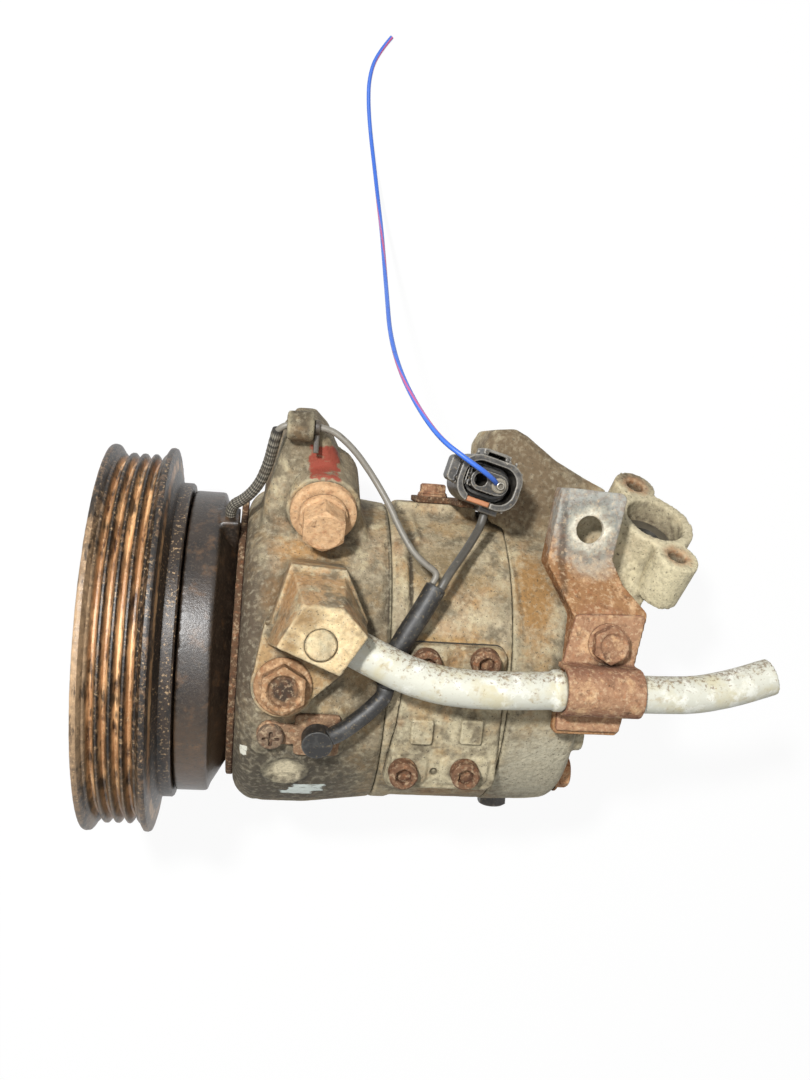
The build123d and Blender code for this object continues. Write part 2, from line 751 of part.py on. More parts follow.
def make_front_head():
    """Front casting: clutch nose, seal bore, suction chamber, mounting ear and pads."""
    points = [
        (nose_front_x, nose_bore_r),
        (nose_front_x, bearing_bore_r),
        (bearing_x + bearing_w, bearing_bore_r),
        (bearing_x + bearing_w, nose_shoulder_r),
        (boss_x, nose_shoulder_r),
        (boss_x, boss_r),
        (front_face_x, boss_r),
        (front_face_x, housing_front_r),
        (housing_mid_x, housing_mid_r),
        (67.0, housing_mid_r),
        (seam_front_x, seam_front_r),
        (seam_front_x, plate_r + fit_gap),
        (front_plate_x, plate_r + fit_gap),
        (front_plate_x, chamber_r),
        (chamber_x, chamber_r),
        (chamber_x, inner_boss_r),
        (inner_boss_x, inner_boss_r),
        (inner_boss_x, shaft_hole_r),
        (seal_x + seal_len, shaft_hole_r),
        (seal_x + seal_len, nose_bore_r),
    ]
    body = turned(points, rounds=[(7, housing_front_round)])
    # mounting ear with its bolt boss and the boss that guides the coil lead
    ear = prism(ear_plane(), ear_outline, ear_face - ear_back, ear_back)
    ear = chamfer(top_edges(ear, ear_plane()), ear_edge)
    bolt_boss = rod(ear_bolt_plane(), washer_big_r + 1.2, 22.0, -22.0)
    guide = ring(lead_boss_x0, lead_boss_x1, lead_boss_r)
    guide = Pos(0, *lead_boss_at) * guide
    body += ear
    body += bolt_boss
    body += guide
    body -= rod(ear_bolt_plane(), ear_bolt_r + run_gap, 45.0, -40.0)
    body -= Pos(0, *lead_boss_at) * ring(lead_boss_x0 - 1, lead_boss_x1 + 1, lead_r + 0.2)
    # pad of the discharge fitting
    body += extrude(upward(fitting_pad_foot_z) * fitting_outline(), fitting_seat_z - fitting_pad_foot_z)
    body -= rod(Plane(origin=(*fitting_port_at, 26.0)), fitting_port_r, 30.0)
    body -= rod(Plane(origin=(*fitting_bolt_at, fitting_seat_z - 15.5)), fitting_bolt_r + run_gap, 20.0)
    # pad, pocket and screw hole of the thermal protector, and the round blank boss beside it
    pad = tilted(protector_angle, protector_pad_x, 0, protector_pad_foot)
    body += extrude(pad * RectangleRounded(*protector_pad_size, 3.0), protector_seat - protector_pad_foot)
    pocket = tilted(protector_angle, protector_x, 0, protector_seat)
    body -= rod(pocket, protector_r + run_gap, 20.0, -9.0)
    screw = tilted(protector_angle, protector_screw_x, 0, protector_seat)
    body -= rod(screw, protector_screw_r + run_gap, 20.0, -9.0)
    blank = tilted(blank_boss_tilt, blank_boss_x, 0, 0)
    body += rod(blank, blank_boss_r, blank_boss_top - protector_pad_foot, protector_pad_foot)
    body -= rod(blank, blank_boss_dish_r, 5.0, blank_boss_top - blank_boss_dish)
    # feet and tapped holes
    body += foot_pads(foot_front_x, front_foot_top_z)
    body = drilled_feet(body, foot_front_x)
    body = through_bolt_bores(body, bolt_tip_x - 1.0, seam_front_x + 1, bolt_r + run_gap)
    # grooves for the snap rings and the seam's ring seal
    body -= ring(bearing_x - 1.3, bearing_x, bearing_bore_r + 1, bearing_bore_r - 0.8)
    body -= ring(coil_plate_x - 1.4, coil_plate_x, boss_r + 1, boss_r - 1.2)
    body -= ring(seal_x - 1.3, seal_x, nose_bore_r + 0.85, nose_bore_r - 1)
    body -= seam_groove(seam_front_x, -1)
    return body


def seam_groove(x, side):
    """The groove for a seam's ring seal, cut into the casting on one side of the seam."""
    start = x - seam_groove_depth if side < 0 else x
    return ring(start, start + seam_groove_depth, seam_seal_outer_r, seam_seal_inner_r)


def make_seam_seals():
    seals = []
    for x, side in ((seam_front_x, -1), (seam_rear_x, 1)):
        thick = seam_groove_depth - run_gap
        start = x - thick if side < 0 else x
        seals.append(ring(start, start + thick, seam_seal_outer_r - run_gap, seam_seal_inner_r + run_gap))
    return seals


def lobe_outline():
    return Rot(0, 0, lobe_angle) * Ellipse(lobe_r, rotor_r + run_gap)


def cover_plane(side, height, x=0.0, along=0.0):
    """A plane facing out of the upper (+1) or lower (-1) discharge side."""
    plane = tilted(cover_tilt, x, along, height)
    if side > 0:
        return plane
    return Plane(origin=(plane.origin.X, -plane.origin.Y, -plane.origin.Z), x_dir=(1, 0, 0),
                 z_dir=-plane.z_dir)


def cover_face(inset=0.0, rounding=3.5):
    """The outline of a discharge cover, drawn on its own seat plane."""
    outline = make_face(Polyline(*cover_outline, close=True))
    if inset:
        outline = offset(outline, -inset)
    return fillet(outline.vertices(), rounding)


def pocket_face(inset=0.0):
    length, width = [side - 2 * inset for side in pocket_size]
    return Pos(*pocket_at) * RectangleRounded(length, width, 4.0 - inset)


def lead_screw_plane(y):
    """A plane facing +Y at the axis of the screw that holds the lead bracket."""
    return Plane(origin=(lead_bracket_screw_x, y, lead_bracket_screw_z), z_dir=(0, 1, 0))


def make_cylinder():
    """Cylinder casting: lobed bore, two discharge pockets with their cover pads, and the lead bracket's pad."""
    collar_x = seam_front_x + cylinder_collar_w
    body = turned([(seam_front_x, 0), (seam_front_x, seam_front_r), (collar_x, seam_front_r),
                   (collar_x + 1.0, seam_rear_r), (seam_rear_x, seam_rear_r), (seam_rear_x, 0)])
    for side in (1, -1):
        body += extrude(cover_plane(side, 30.0) * cover_face(), cover_seat - 30.0)
        body -= extrude(cover_plane(side, cover_seat) * cover_face(), 12.0)
    body += Pos(*lead_pad_at) * Box(*lead_pad_size)
    body -= extrude(across(seam_front_x - 1) * lobe_outline(), cylinder_len + 2)
    for side in (1, -1):
        body -= extrude(cover_plane(side, pocket_floor) * pocket_face(), 12.0)
        for number in range(discharge_holes):
            x = pocket_at[0] + discharge_hole_pitch * (number - (discharge_holes - 1) / 2)
            body -= rod(cover_plane(side, 26.0, x, pocket_at[1]), discharge_hole_r, 14.0)
        for x, along in cover_screws:
            body -= rod(cover_plane(side, cover_seat, x, along), cover_screw_r + run_gap, 14.0, -9.0)
    body = through_bolt_bores(body, seam_front_x - 1, seam_rear_x + 1, bolt_r + 0.3)
    body -= rod(lead_screw_plane(lead_pad_face_y), lead_screw_r + run_gap, 12.0, -9.0)
    return body


def cover_pad(side, x, along, size, rise, rounding=2.0):
    """A raised rectangle on a discharge cover, sunk a little into it."""
    sunk = 0.2
    outline = RectangleRounded(*size, rounding)
    return extrude(cover_plane(side, cover_top - sunk, x, along) * outline, rise + sunk)


def make_discharge_parts():
    """Covers, gaskets, reeds, stops and screws of the two discharge sides."""
    gaskets, reeds, stops, stop_screws, screws, covers = [], [], [], [], [], []
    for side in (1, -1):
        seat = cover_plane(side, cover_seat)
        gasket = extrude(seat * (cover_face() - pocket_face()), gasket_t)
        lid = extrude(seat.offset(gasket_t) * cover_face(), cover_t - gasket_t)
        lid = chamfer(top_edges(lid, seat), 0.8)
        lid -= extrude(seat * pocket_face(1.0), cover_t - 2.0)
        raised = [cover_pad(side, x, along, cover_pad_size, cover_pad_rise) for x, along in cover_screws[:2]]
        raised += [cover_pad(side, x, along - 2.0, cover_high_pad_size, cover_pad_rise)
                   for x, along in cover_screws[2:]]
        raised += [cover_pad(side, x, along, cover_boss_size, cover_boss_rise, 0.8)
                   for x, along in cover_bosses]
        limit = extrude(seat.offset(gasket_t) * cover_face(1.0, 2.8), 12.0)
        for piece in raised:
            lid += piece & limit
        vent = cover_plane(side, cover_top, cover_vent_x, cover_screws[0][1] - 0.6)
        lid -= rod(vent, cover_vent_r, 4.0, -1.6)
        for x, along in cover_screws:
            hole = rod(cover_plane(side, cover_seat, x, along), cover_screw_r + run_gap, 10.0, -1.0)
            gasket -= hole
            lid -= hole
            screws.append(cap_screw(cover_plane(side, cover_top + cover_pad_rise, x, along), cover_screw_r,
                                    cover_t + cover_pad_rise + 8.0, cover_screw_head_r, cover_screw_head_t))
        gaskets.append(gasket)
        covers.append(lid)
        floor = cover_plane(side, pocket_floor)
        strip = Pos(*pocket_at) * RectangleRounded(*reed_size, 3.0)
        screw_at = cover_plane(side, pocket_floor, pocket_at[0], pocket_at[1] + reed_screw_along)
        hole = rod(screw_at, reed_screw_r + run_gap, 5.0, -1.0)
        reeds.append(extrude(floor * strip, reed_t) - hole)
        stops.append(extrude(floor.offset(reed_t) * strip, stop_t) - hole)
        stop_screw = rod(screw_at, reed_screw_r, reed_t + stop_t)
        stop_screws.append(stop_screw + rod(screw_at, 2.8, 1.4, reed_t + stop_t))
    save("discharge_valve_covers", group(covers))
    save("discharge_reeds", group(reeds + stops + stop_screws))
    save("discharge_cover_screws", group(screws))
    return gaskets


def make_side_plates():
    """The two end plates of the pump, each with its needle bearing bore and inlet holes."""
    def plate(x0, x1, bore_x0, bore_x1):
        body = ring(x0, x1, plate_r)
        body -= ring(x0 - 1, x1 + 1, shaft_r + 0.3)
        body -= ring(bore_x0, bore_x1, needle_shell_r + fit_gap)
        for angle in (lobe_angle - inlet_lead_angle, lobe_angle + 180 - inlet_lead_angle):
            body -= rod(around(angle, inlet_circle_r, x0 - 1), inlet_hole_r, plate_t + 2)
        return body

    save("side_plates", group([plate(front_plate_x, seam_front_x, front_plate_x - 1, seam_front_x - 1.8),
                               plate(seam_rear_x, rear_plate_end_x, seam_rear_x + 1.8, rear_plate_end_x + 1)]))


def make_needle_bearings():
    inner_shell_r = needle_shell_r - needle_shell_wall
    pitch = shaft_r + run_gap + needle_r
    shells = []
    for name, x in (("front", front_plate_x + 1.2), ("rear", seam_rear_x + 1.9)):
        shells.append(ring(x, x + needle_bearing_len, needle_shell_r, inner_shell_r))
        middle = x + needle_bearing_len / 2
        cage = ring(middle - needle_len / 2 - 0.8, middle + needle_len / 2 + 0.8, pitch + 0.75, pitch - 0.75)
        needles = []
        for number in range(needle_count):
            place = around(360 / needle_count * number, pitch, middle - needle_len / 2)
            needles.append(rod(place, needle_r, needle_len))
            cage -= rod(place, needle_r + 0.08, needle_len + 0.2, -0.1)
        save(name + "_needle_set", group(needles + [cage]))
    save("needle_shells", group(shells))


def make_rotating_parts():
    shaft = ring(shaft_front_x, hub_sleeve_end_x + 1, spline_r)
    shaft += ring(hub_sleeve_end_x + 1, shaft_end_x, shaft_r)
    shaft -= ring(shaft_front_x - 1, shaft_front_x + 18.0, hub_bolt_r + run_gap)
    save("rotor_shaft", chamfer(top_edges(shaft, across(0)), 0.8))
    rotor = ring(seam_front_x + run_gap, seam_rear_x - run_gap, rotor_r, shaft_r + fit_gap)
    length = cylinder_len - 4 * run_gap
    for number in range(vane_count):
        angle = vane_start_angle + 360 / vane_count * number
        slot = across(seam_front_x) * Rot(0, 0, angle) * Pos((slot_floor_r + rotor_r + 1) / 2, 0) \
            * Rectangle(rotor_r + 1 - slot_floor_r, vane_t + 2 * run_gap)
        rotor -= extrude(slot, cylinder_len)
        outer = rotor_r - 0.1
        vane = Pos(outer - vane_h / 2, 0) * Rectangle(vane_h, vane_t)
        tip = [v for v in vane.vertices() if v.X > outer - 0.01]
        vane = fillet(tip, vane_t * 0.45)
        save("vane_%d" % (number + 1),
             extrude(across(seam_front_x + 2 * run_gap) * Rot(0, 0, angle) * vane, length))
    save("vane_rotor", rotor)


def make_shaft_seal():
    seal = ring(seal_x, seal_x + seal_len - 0.3, nose_bore_r - fit_gap, shaft_r + 2.2)
    seal += ring(seal_x + 3.0, seal_x + 4.2, shaft_r + 3.0, shaft_r + run_gap)
    save("shaft_seal", seal)


def port_plane(height=0.0, along=0.0):
    plane = Plane(origin=port_at, x_dir=port_long, z_dir=port_normal)
    return Plane(origin=plane.origin + plane.z_dir * height + plane.x_dir * along, x_dir=plane.x_dir,
                 z_dir=plane.z_dir)


def suction_port_body():
    """Round port wall between two screw lugs, with the web that joins them."""
    port = rod(port_plane(), port_wall_r, port_depth, -port_depth)
    for along in (-port_screw_offset, port_screw_offset):
        port += rod(port_plane(0, along), port_lug_r, port_lug_depth, -port_lug_depth)
    web = Rectangle(2 * port_screw_offset, 2 * port_lug_r - 3.0)
    return port + extrude(port_plane(-port_lug_depth) * web, port_lug_depth)


def cut_suction_port(body):
    """Faces the port off level with its plane, then bores it, its valve seat, its way in and its screws."""
    body -= rod(port_plane(), port_wall_r, port_depth)
    for along in (-port_screw_offset, port_screw_offset):
        body -= rod(port_plane(0, along), port_lug_r, port_depth)
        body -= rod(port_plane(0, along), port_screw_r, port_screw_depth, -port_screw_depth)
    body -= rod(port_plane(), port_bore_r, port_bore_depth, -port_bore_depth)
    body -= rod(port_plane(), valve_seat_r, valve_seat_t + 1, -port_bore_depth - valve_seat_t)
    body -= rod(port_plane(), valve_bore_r, valve_bore_depth, -valve_bore_depth)
    start = tuple(port_plane(-valve_bore_depth + 2.0).origin)
    return body - run_tube([start, *suction_way], suction_way_r)


def make_rear_head():
    """Rear casting: chamber, rear ear, suction port with its two screw lugs, feet and bracket boss."""
    points = [
        (seam_rear_x, plate_r + fit_gap),
        (seam_rear_x, seam_rear_r + 0.3),
        (rear_x - 8.0, rear_end_r + 0.9),
        (rear_x, rear_end_r),
        (rear_x, 0),
        (rear_x - rear_wall, 0),
        (rear_x - rear_wall, chamber_r),
        (rear_plate_end_x, chamber_r),
        (rear_plate_end_x, plate_r + fit_gap),
    ]
    body = turned(points, rounds=[(3, rear_round)])
    ear = prism(upward(0), rear_ear_outline, rear_ear_t, rear_ear_z)
    ear = chamfer(top_edges(ear, upward(0)), rear_ear_edge)
    ear -= ring(seam_rear_x - 15, seam_rear_x, seam_front_r + free_gap)
    body += ear
    body += rod(around(rear_boss_angle, rear_boss_circle_r, rear_x - 6.0), rear_boss_r, 9.6)
    body += prism(upward(0), port_neck_outline, port_neck_t, port_neck_z, 2.5)
    body += suction_port_body()
    block = Box(*bracket_boss_size, bracket_seat_z - bracket_boss_foot_z)
    body += Pos(*bracket_boss_at, (bracket_boss_foot_z + bracket_seat_z) / 2) * block
    body += Pos(146.2, bracket_boss_at[1], 43.0) * Box(4.4, bracket_boss_size[1], 8.0)
    body += foot_pads(foot_rear_x, rear_foot_top_z)
    body = drilled_feet(body, foot_rear_x)
    body -= ring(seam_rear_x - 1, rear_plate_end_x, plate_r + fit_gap)
    body -= ring(rear_plate_end_x - 1, rear_x - rear_wall, chamber_r)
    body = cut_suction_port(body)
    for angle in bolt_angles:
        place = around(angle, bolt_circle_r, seam_rear_x - 1)
        body -= rod(place, bolt_r + 0.3, rear_len + 20)
        body -= rod(around(angle, bolt_circle_r, rear_x), bolt_flange_r + 0.4, 20)
    body -= rod(Plane(origin=(*bracket_bolt_at, bracket_seat_z - 9.0)), bracket_bolt_r + run_gap, 12.0)
    screw = Plane(origin=(*rear_ear_screw_at, rear_ear_z))
    body -= rod(screw, rear_ear_screw_r, rear_ear_screw_depth + 1, -1.0)
    body -= rod(oil_plug_plane(), oil_plug_r + run_gap, 12.0, -8.0)
    body -= rod(oil_plug_plane(), oil_plug_seat_r, 6.0)
    body -= seam_groove(seam_rear_x, 1)
    return body


def oil_plug_plane():
    return Plane(origin=oil_plug_at, z_dir=(0, -1, 0))


def make_through_bolts():
    bolts = []
    for angle in bolt_angles:
        seat = around(angle, bolt_circle_r, rear_x)
        bolts.append(bolt(seat, bolt_r, rear_x - bolt_tip_x, bolt_af, bolt_head_t, bolt_flange_r, 1.0))
    save("through_bolts", group(bolts))


def make_check_valve():
    """Suction check valve under the port: a seat ring and the disc that closes against it from inside."""
    depth = port_bore_depth + valve_seat_t
    save("check_valve_seat", tube(port_plane(), valve_seat_r - fit_gap, 5.6, valve_seat_t - fit_gap, -depth))
    poppet = rod(port_plane(), 7.4, 1.2, -depth - 1.3) + rod(port_plane(), 2.0, 1.6, -depth - 2.8)
    save("check_valve_poppet", poppet)


def ear_fasteners():
    save("ear_bolt", bolt(ear_bolt_plane(washer_big_t + washer_small_t), ear_bolt_r,
                          ear_bolt_len + washer_big_t + washer_small_t, ear_bolt_af, ear_bolt_head_t))
    hole = ear_bolt_r + run_gap
    save("ear_washers", group([
        tube(ear_bolt_plane(), washer_big_r, hole, washer_big_t),
        tube(ear_bolt_plane(washer_big_t), washer_small_r, hole, washer_small_t)]))


# ------------------------------------------------------------------ discharge line
def pipe_points():
    return [(74.6, 10.9, pipe_z), (82.0, 7.4, pipe_z), (91.0, 3.4, pipe_z + 0.2), (101.0, 0.8, pipe_z + 0.6),
            (113.0, 0.0, pipe_z + 0.9), (127.0, 0.4, pipe_z + 0.6), (136.0, clamp_y, pipe_z),
            (164.5, clamp_y, pipe_z), (177.5, 1.2, pipe_z - 0.4), (189.5, 3.9, pipe_z - 1.0),
            (200.6, 7.6, pipe_z - 1.6)]


def make_discharge_line():
    outline = fitting_outline()
    block = extrude(upward(fitting_seat_z) * outline, fitting_plate_t)
    base = make_face(Polyline(*fitting_base, close=True))
    top = make_face(Polyline(*fitting_top, close=True))
    block += loft([upward(fitting_seat_z + 1.0) * base, upward(fitting_top_z) * top], ruled=True)
    points = pipe_points()
    start = Plane(origin=points[0], z_dir=Vector(*points[1]) - Vector(*points[0]))
    block -= rod(start, pipe_r + fit_gap, 25.0)
    block -= rod(Plane(origin=(*fitting_port_at, fitting_seat_z - 1)), fitting_port_r,
                 pipe_z - fitting_seat_z + pipe_bore_r)
    into = Vector(*points[0]) - Vector(*fitting_port_at, pipe_z)
    block -= rod(Plane(origin=(*fitting_port_at, pipe_z), z_dir=into), pipe_bore_r, into.length + 0.5)
    ring_seat = Plane(origin=(*fitting_port_at, fitting_seat_z))
    block -= tube(ring_seat, fitting_port_r + 2.8, fitting_port_r + 0.9, 1.4)
    plug_at = Plane(origin=(*fitting_plug_at, fitting_top_z))
    block -= rod(plug_at, fitting_plug_r + fit_gap, 5.0, -fitting_plug_t - 0.1)
    block -= rod(Plane(origin=(*fitting_bolt_at, fitting_seat_z)), fitting_bolt_r + run_gap, 30.0, -1.0)
    pad_top = Plane(origin=(*fitting_bolt_at, fitting_seat_z + fitting_plate_t))
    block -= rod(pad_top, fitting_flange_r + 0.3, 30.0)
    save("discharge_fitting", block)
    save("fitting_plug", rod(plug_at, fitting_plug_r, fitting_plug_t, -fitting_plug_t - 0.1))
    save("fitting_bolt", bolt(pad_top, fitting_bolt_r, fitting_plate_t + 14.5, fitting_bolt_af,
                              fitting_head_t, fitting_flange_r, 1.6))
    pipe = run_tube(points, pipe_r, pipe_bore_r, "discharge pipe")
    clamp_run = Vector(*points[6]) - Vector(*points[5])
    collar = Plane(origin=Vector(*points[6]) - clamp_run.normalized() * collar_back, z_dir=clamp_run)
    save("discharge_pipe", pipe + tube(collar, pipe_r + collar_rise, pipe_r - 0.3, collar_w))
    return [tube(ring_seat, fitting_port_r + 2.75, fitting_port_r + 0.95, 1.38)]


def make_bracket():
    """Stamped bracket: tab with a hole, sloping band, seat plate under the clamp, and a stiffening edge."""
    tab = bracket_tab_z
    seat = bracket_seat_z
    slope_foot, slope_top = bracket_slope
    profile = [(bracket_tab_y, tab), (slope_foot, tab), (slope_top, seat), (bracket_end_y, seat),
               (bracket_end_y, seat + bracket_t), (slope_top + 0.9, seat + bracket_t),
               (slope_foot + 1.2, tab + bracket_t), (bracket_tab_y, tab + bracket_t)]
    side_view = Plane(origin=(130.0, 0, 0), x_dir=(0, 1, 0), z_dir=(1, 0, 0))
    sheet = extrude(side_view * make_face(Polyline(*profile, close=True)), 42.0)
    blank = make_face(Polyline(*bracket_outline, close=True))
    blank = fillet([v for v in blank.vertices() if v.Y > 55 or v.Y < -10 or v.X > 163], 2.2)
    sheet = sheet & extrude(upward(30.0) * blank, 40.0)
    drop = bracket_edge_drop
    lowered = [(59.0, tab - drop), (slope_foot, tab - drop), (slope_top, seat - drop), (13.0, seat - 3.2),
               (bracket_edge_end_y, seat - 1.0)]
    raised = [(bracket_edge_end_y, seat + 1.0), (slope_top, seat + 1.0), (slope_foot, tab + 1.0),
              (59.0, tab + 1.0)]
    rib = extrude(side_view * make_face(Polyline(*lowered, *raised, close=True)), 42.0)
    edge = make_face(Polyline(*bracket_edge_outline, close=True))
    sheet += rib & extrude(upward(30.0) * edge, 40.0)
    sheet -= rod(Plane(origin=(*bracket_hole_at, 30.0)), bracket_hole_r, 30.0)
    sheet -= rod(Plane(origin=(*bracket_bolt_at, 40.0)), bracket_bolt_r + 0.2, 30.0)
    save("pipe_bracket", sheet)
    save("pipe_clamp", make_clamp())
    head = Plane(origin=(*bracket_bolt_at, seat + bracket_t + clamp_t))
    save("bracket_bolts", group([
        bolt(head, bracket_bolt_r, bracket_t + clamp_t + 8.0, bracket_bolt_af, bracket_bolt_head_t,
             bracket_bolt_flange_r, 1.2),
        bolt(lead_screw_plane(lead_pad_face_y + lead_strip_t), lead_screw_r, 9.5, 8.0, 4.2, 5.0, 1.0)]))


def make_clamp():
    """Strap over the pipe, with the ear that takes the bolt on one side and a short foot on the other."""
    inner = pipe_r + 0.1
    outer = inner + clamp_t
    base = bracket_seat_z + bracket_t
    middle = Pos(clamp_y, (base + pipe_z) / 2)
    strap = Pos(clamp_y, pipe_z) * Circle(outer) + middle * Rectangle(2 * outer, pipe_z - base)
    strap -= Pos(clamp_y, pipe_z) * Circle(inner)
    strap -= Pos(0, -1) * middle * Rectangle(2 * inner, pipe_z - base + 2)
    clamp = extrude(across(clamp_x0) * strap, clamp_x1 - clamp_x0)
    ear = make_face(Polyline(*clamp_ear, close=True))
    ear = fillet([v for v in ear.vertices() if v.Y > 20], 1.6)
    clamp += extrude(upward(base) * ear, clamp_t)
    foot = make_face(Polyline(*clamp_foot, close=True))
    clamp += extrude(upward(base) * foot, clamp_t)
    return clamp - rod(Plane(origin=(*bracket_bolt_at, base - 1)), bracket_bolt_r + 0.2, 10.0)


# ------------------------------------------------------------------ protector, leads and connector
def make_protector():
    seat = tilted(protector_angle, 0, 0, protector_seat)
    at = tilted(protector_angle, protector_x, 0, protector_seat)
    plate = Pos(protector_x, 0) * RectangleRounded(*protector_plate_size, 1.5)
    plate += Pos(protector_screw_x + 4.0, 0) * Rectangle(10.0, 6.5)
    plate += Pos(protector_screw_x, 0) * Circle(protector_tongue_r)
    plate -= Pos(protector_x, 0) * Circle(protector_neck_r + 0.1)
    plate -= Pos(protector_screw_x, 0) * Circle(protector_screw_r + run_gap)
    save("protector_plate", extrude(seat * plate, protector_plate_t))
    body = rod(at, protector_r, 8.5, -8.6) + rod(at, protector_neck_r, protector_plate_t + 0.3, -0.2)
    save("thermal_protector", body + rod(at, boot_r, boot_h, protector_plate_t))
    screw = tilted(protector_angle, protector_screw_x, 0, protector_seat + protector_plate_t)
    head = rod(screw, protector_head_r, protector_head_t)
    head = fillet(top_edges(head, screw), 1.1)
    for width, height in ((5.0, 1.0), (1.0, 5.0)):
        head -= extrude(screw.offset(protector_head_t - 1.2) * Rectangle(width, height), 3.0)
    shank = protector_plate_t + 8.5
    save("protector_screw", head + rod(screw, protector_screw_r, shank, -shank))


def sleeve_mouth(shift):
    """The last two points of a lead that ends on the sleeve's mouth, beside its centre by shift."""
    mouth, onward = [Vector(*point) for point in sleeve_points()[:2]]
    along = (onward - mouth).normalized()
    beside = Vector(-along.Y, along.X, 0).normalized()
    end = mouth + beside * shift - along * 0.03
    return [tuple(end - along * 3.6), tuple(end)]


def coil_lead_points():
    a = radians(coil_lead_angle)
    reach = coil_rear_r + 1.05
    y, z = lead_boss_at
    return [(coil_plate_x - 3.0, reach * cos(a), reach * sin(a)),
            (coil_plate_x - 3.0, (reach + 3.4) * cos(a), (reach + 3.4) * sin(a)),
            (42.6, 48.6, 29.2), (46.6, 53.4, 32.2), (49.0, 60.0, 36.4), (50.1, 66.0, 40.4), (51.0, 70.0, 43.4),
            (53.2, y, z), (66.4, y, z), (73.4, 66.0, 44.7), (79.2, 59.0, 44.2), (84.5, 51.0, 46.2),
            (88.3, 43.3, 49.2), (93.0, 36.2, 51.4)] + sleeve_mouth(-1.5)


def plug_lead_points():
    return [(115.1, 49.25, 37.4), (114.1, 45.4, 37.9), (110.9, 40.4, 41.2), (107.4, 36.0, 45.4),
            (104.2, 32.4, 49.6)] + sleeve_mouth(1.4)


def sleeve_points():
    return [(99.6, 27.6, 52.2), (96.0, 20.6, 53.2), (91.8, 13.4, 53.6), (88.9, 7.4, 53.3), (87.9, 2.4, 52.9),
            (87.0, -2.4, 52.8)]


def cable_points():
    a = radians(protector_angle)
    height = protector_seat + protector_plate_t + 3.4
    at = (protector_x, -sin(a) * height, cos(a) * height)
    before, last = [Vector(*point) for point in sleeve_points()[-2:]]
    onward = (last - before).normalized()
    return [tuple(last + onward * 0.1), tuple(last + onward * 3.2), (82.6, -9.4, 53.6), (78.0, -13.4, 53.9),
            (73.6, -16.8, 53.4), tuple(Vector(*at) - Vector(0, -sin(a), cos(a)) * 1.0)]


def wire_points():
    bed = floor_z + wire_r
    return [(116.3, 58.28, 40.0), (116.3, 58.28, 50.6), (111.6, 61.4, 56.6), (104.4, 65.6, 57.2),
            (97.4, 70.6, 53.0), (91.2, 79.5, 45.5), (86.6, 91.0, 31.5), (84.9, 104.0, 12.0),
            (85.1, 117.1, -6.5), (85.0, 131.6, -24.5), (84.6, 146.6, -40.5), (83.4, 160.0, -51.5),
            (81.6, 174.4, -58.6), (79.4, 187.6, bed + 0.4), (77.9, 198.6, bed), (77.6, 207.6, bed),
            (79.8, 216.4, bed), (85.2, 223.6, bed)]


def make_leads():
    lead = coil_lead_points()
    save("coil_lead", run_tube(lead, lead_r, 0, "coil lead"))
    save("braided_sleeve", run_tube(lead[:7], braid_r, lead_r + 0.1, "braided sleeve"))
    save("connector_lead", run_tube(plug_lead_points(), plug_lead_r, 0, "connector lead"))
    sleeve = run_tube(sleeve_points(), sleeve_r, 0, "rubber sleeve")
    save("joint_sleeve", sleeve)
    boot = rod(tilted(protector_angle, protector_x, 0, protector_seat), boot_r, 30.0, -5.0)
    save("protector_cable", run_tube(cable_points(), cable_r, 0, "protector cable") - boot)
    save("test_wire", run_tube(wire_points(), wire_r, 0, "test wire"))
    clip = Plane(origin=(lead_boss_x1 + 0.1, *lead_boss_at), x_dir=(0, 1, 0), z_dir=(1, 0, 0))
    band = tube(clip, lead_r + 1.1, lead_r + 0.15, 1.6)
    leg = extrude(clip * (Pos(-4.4, -0.6) * Rectangle(6.4, 1.0)), 1.6)
    save("lead_clip", band + leg)


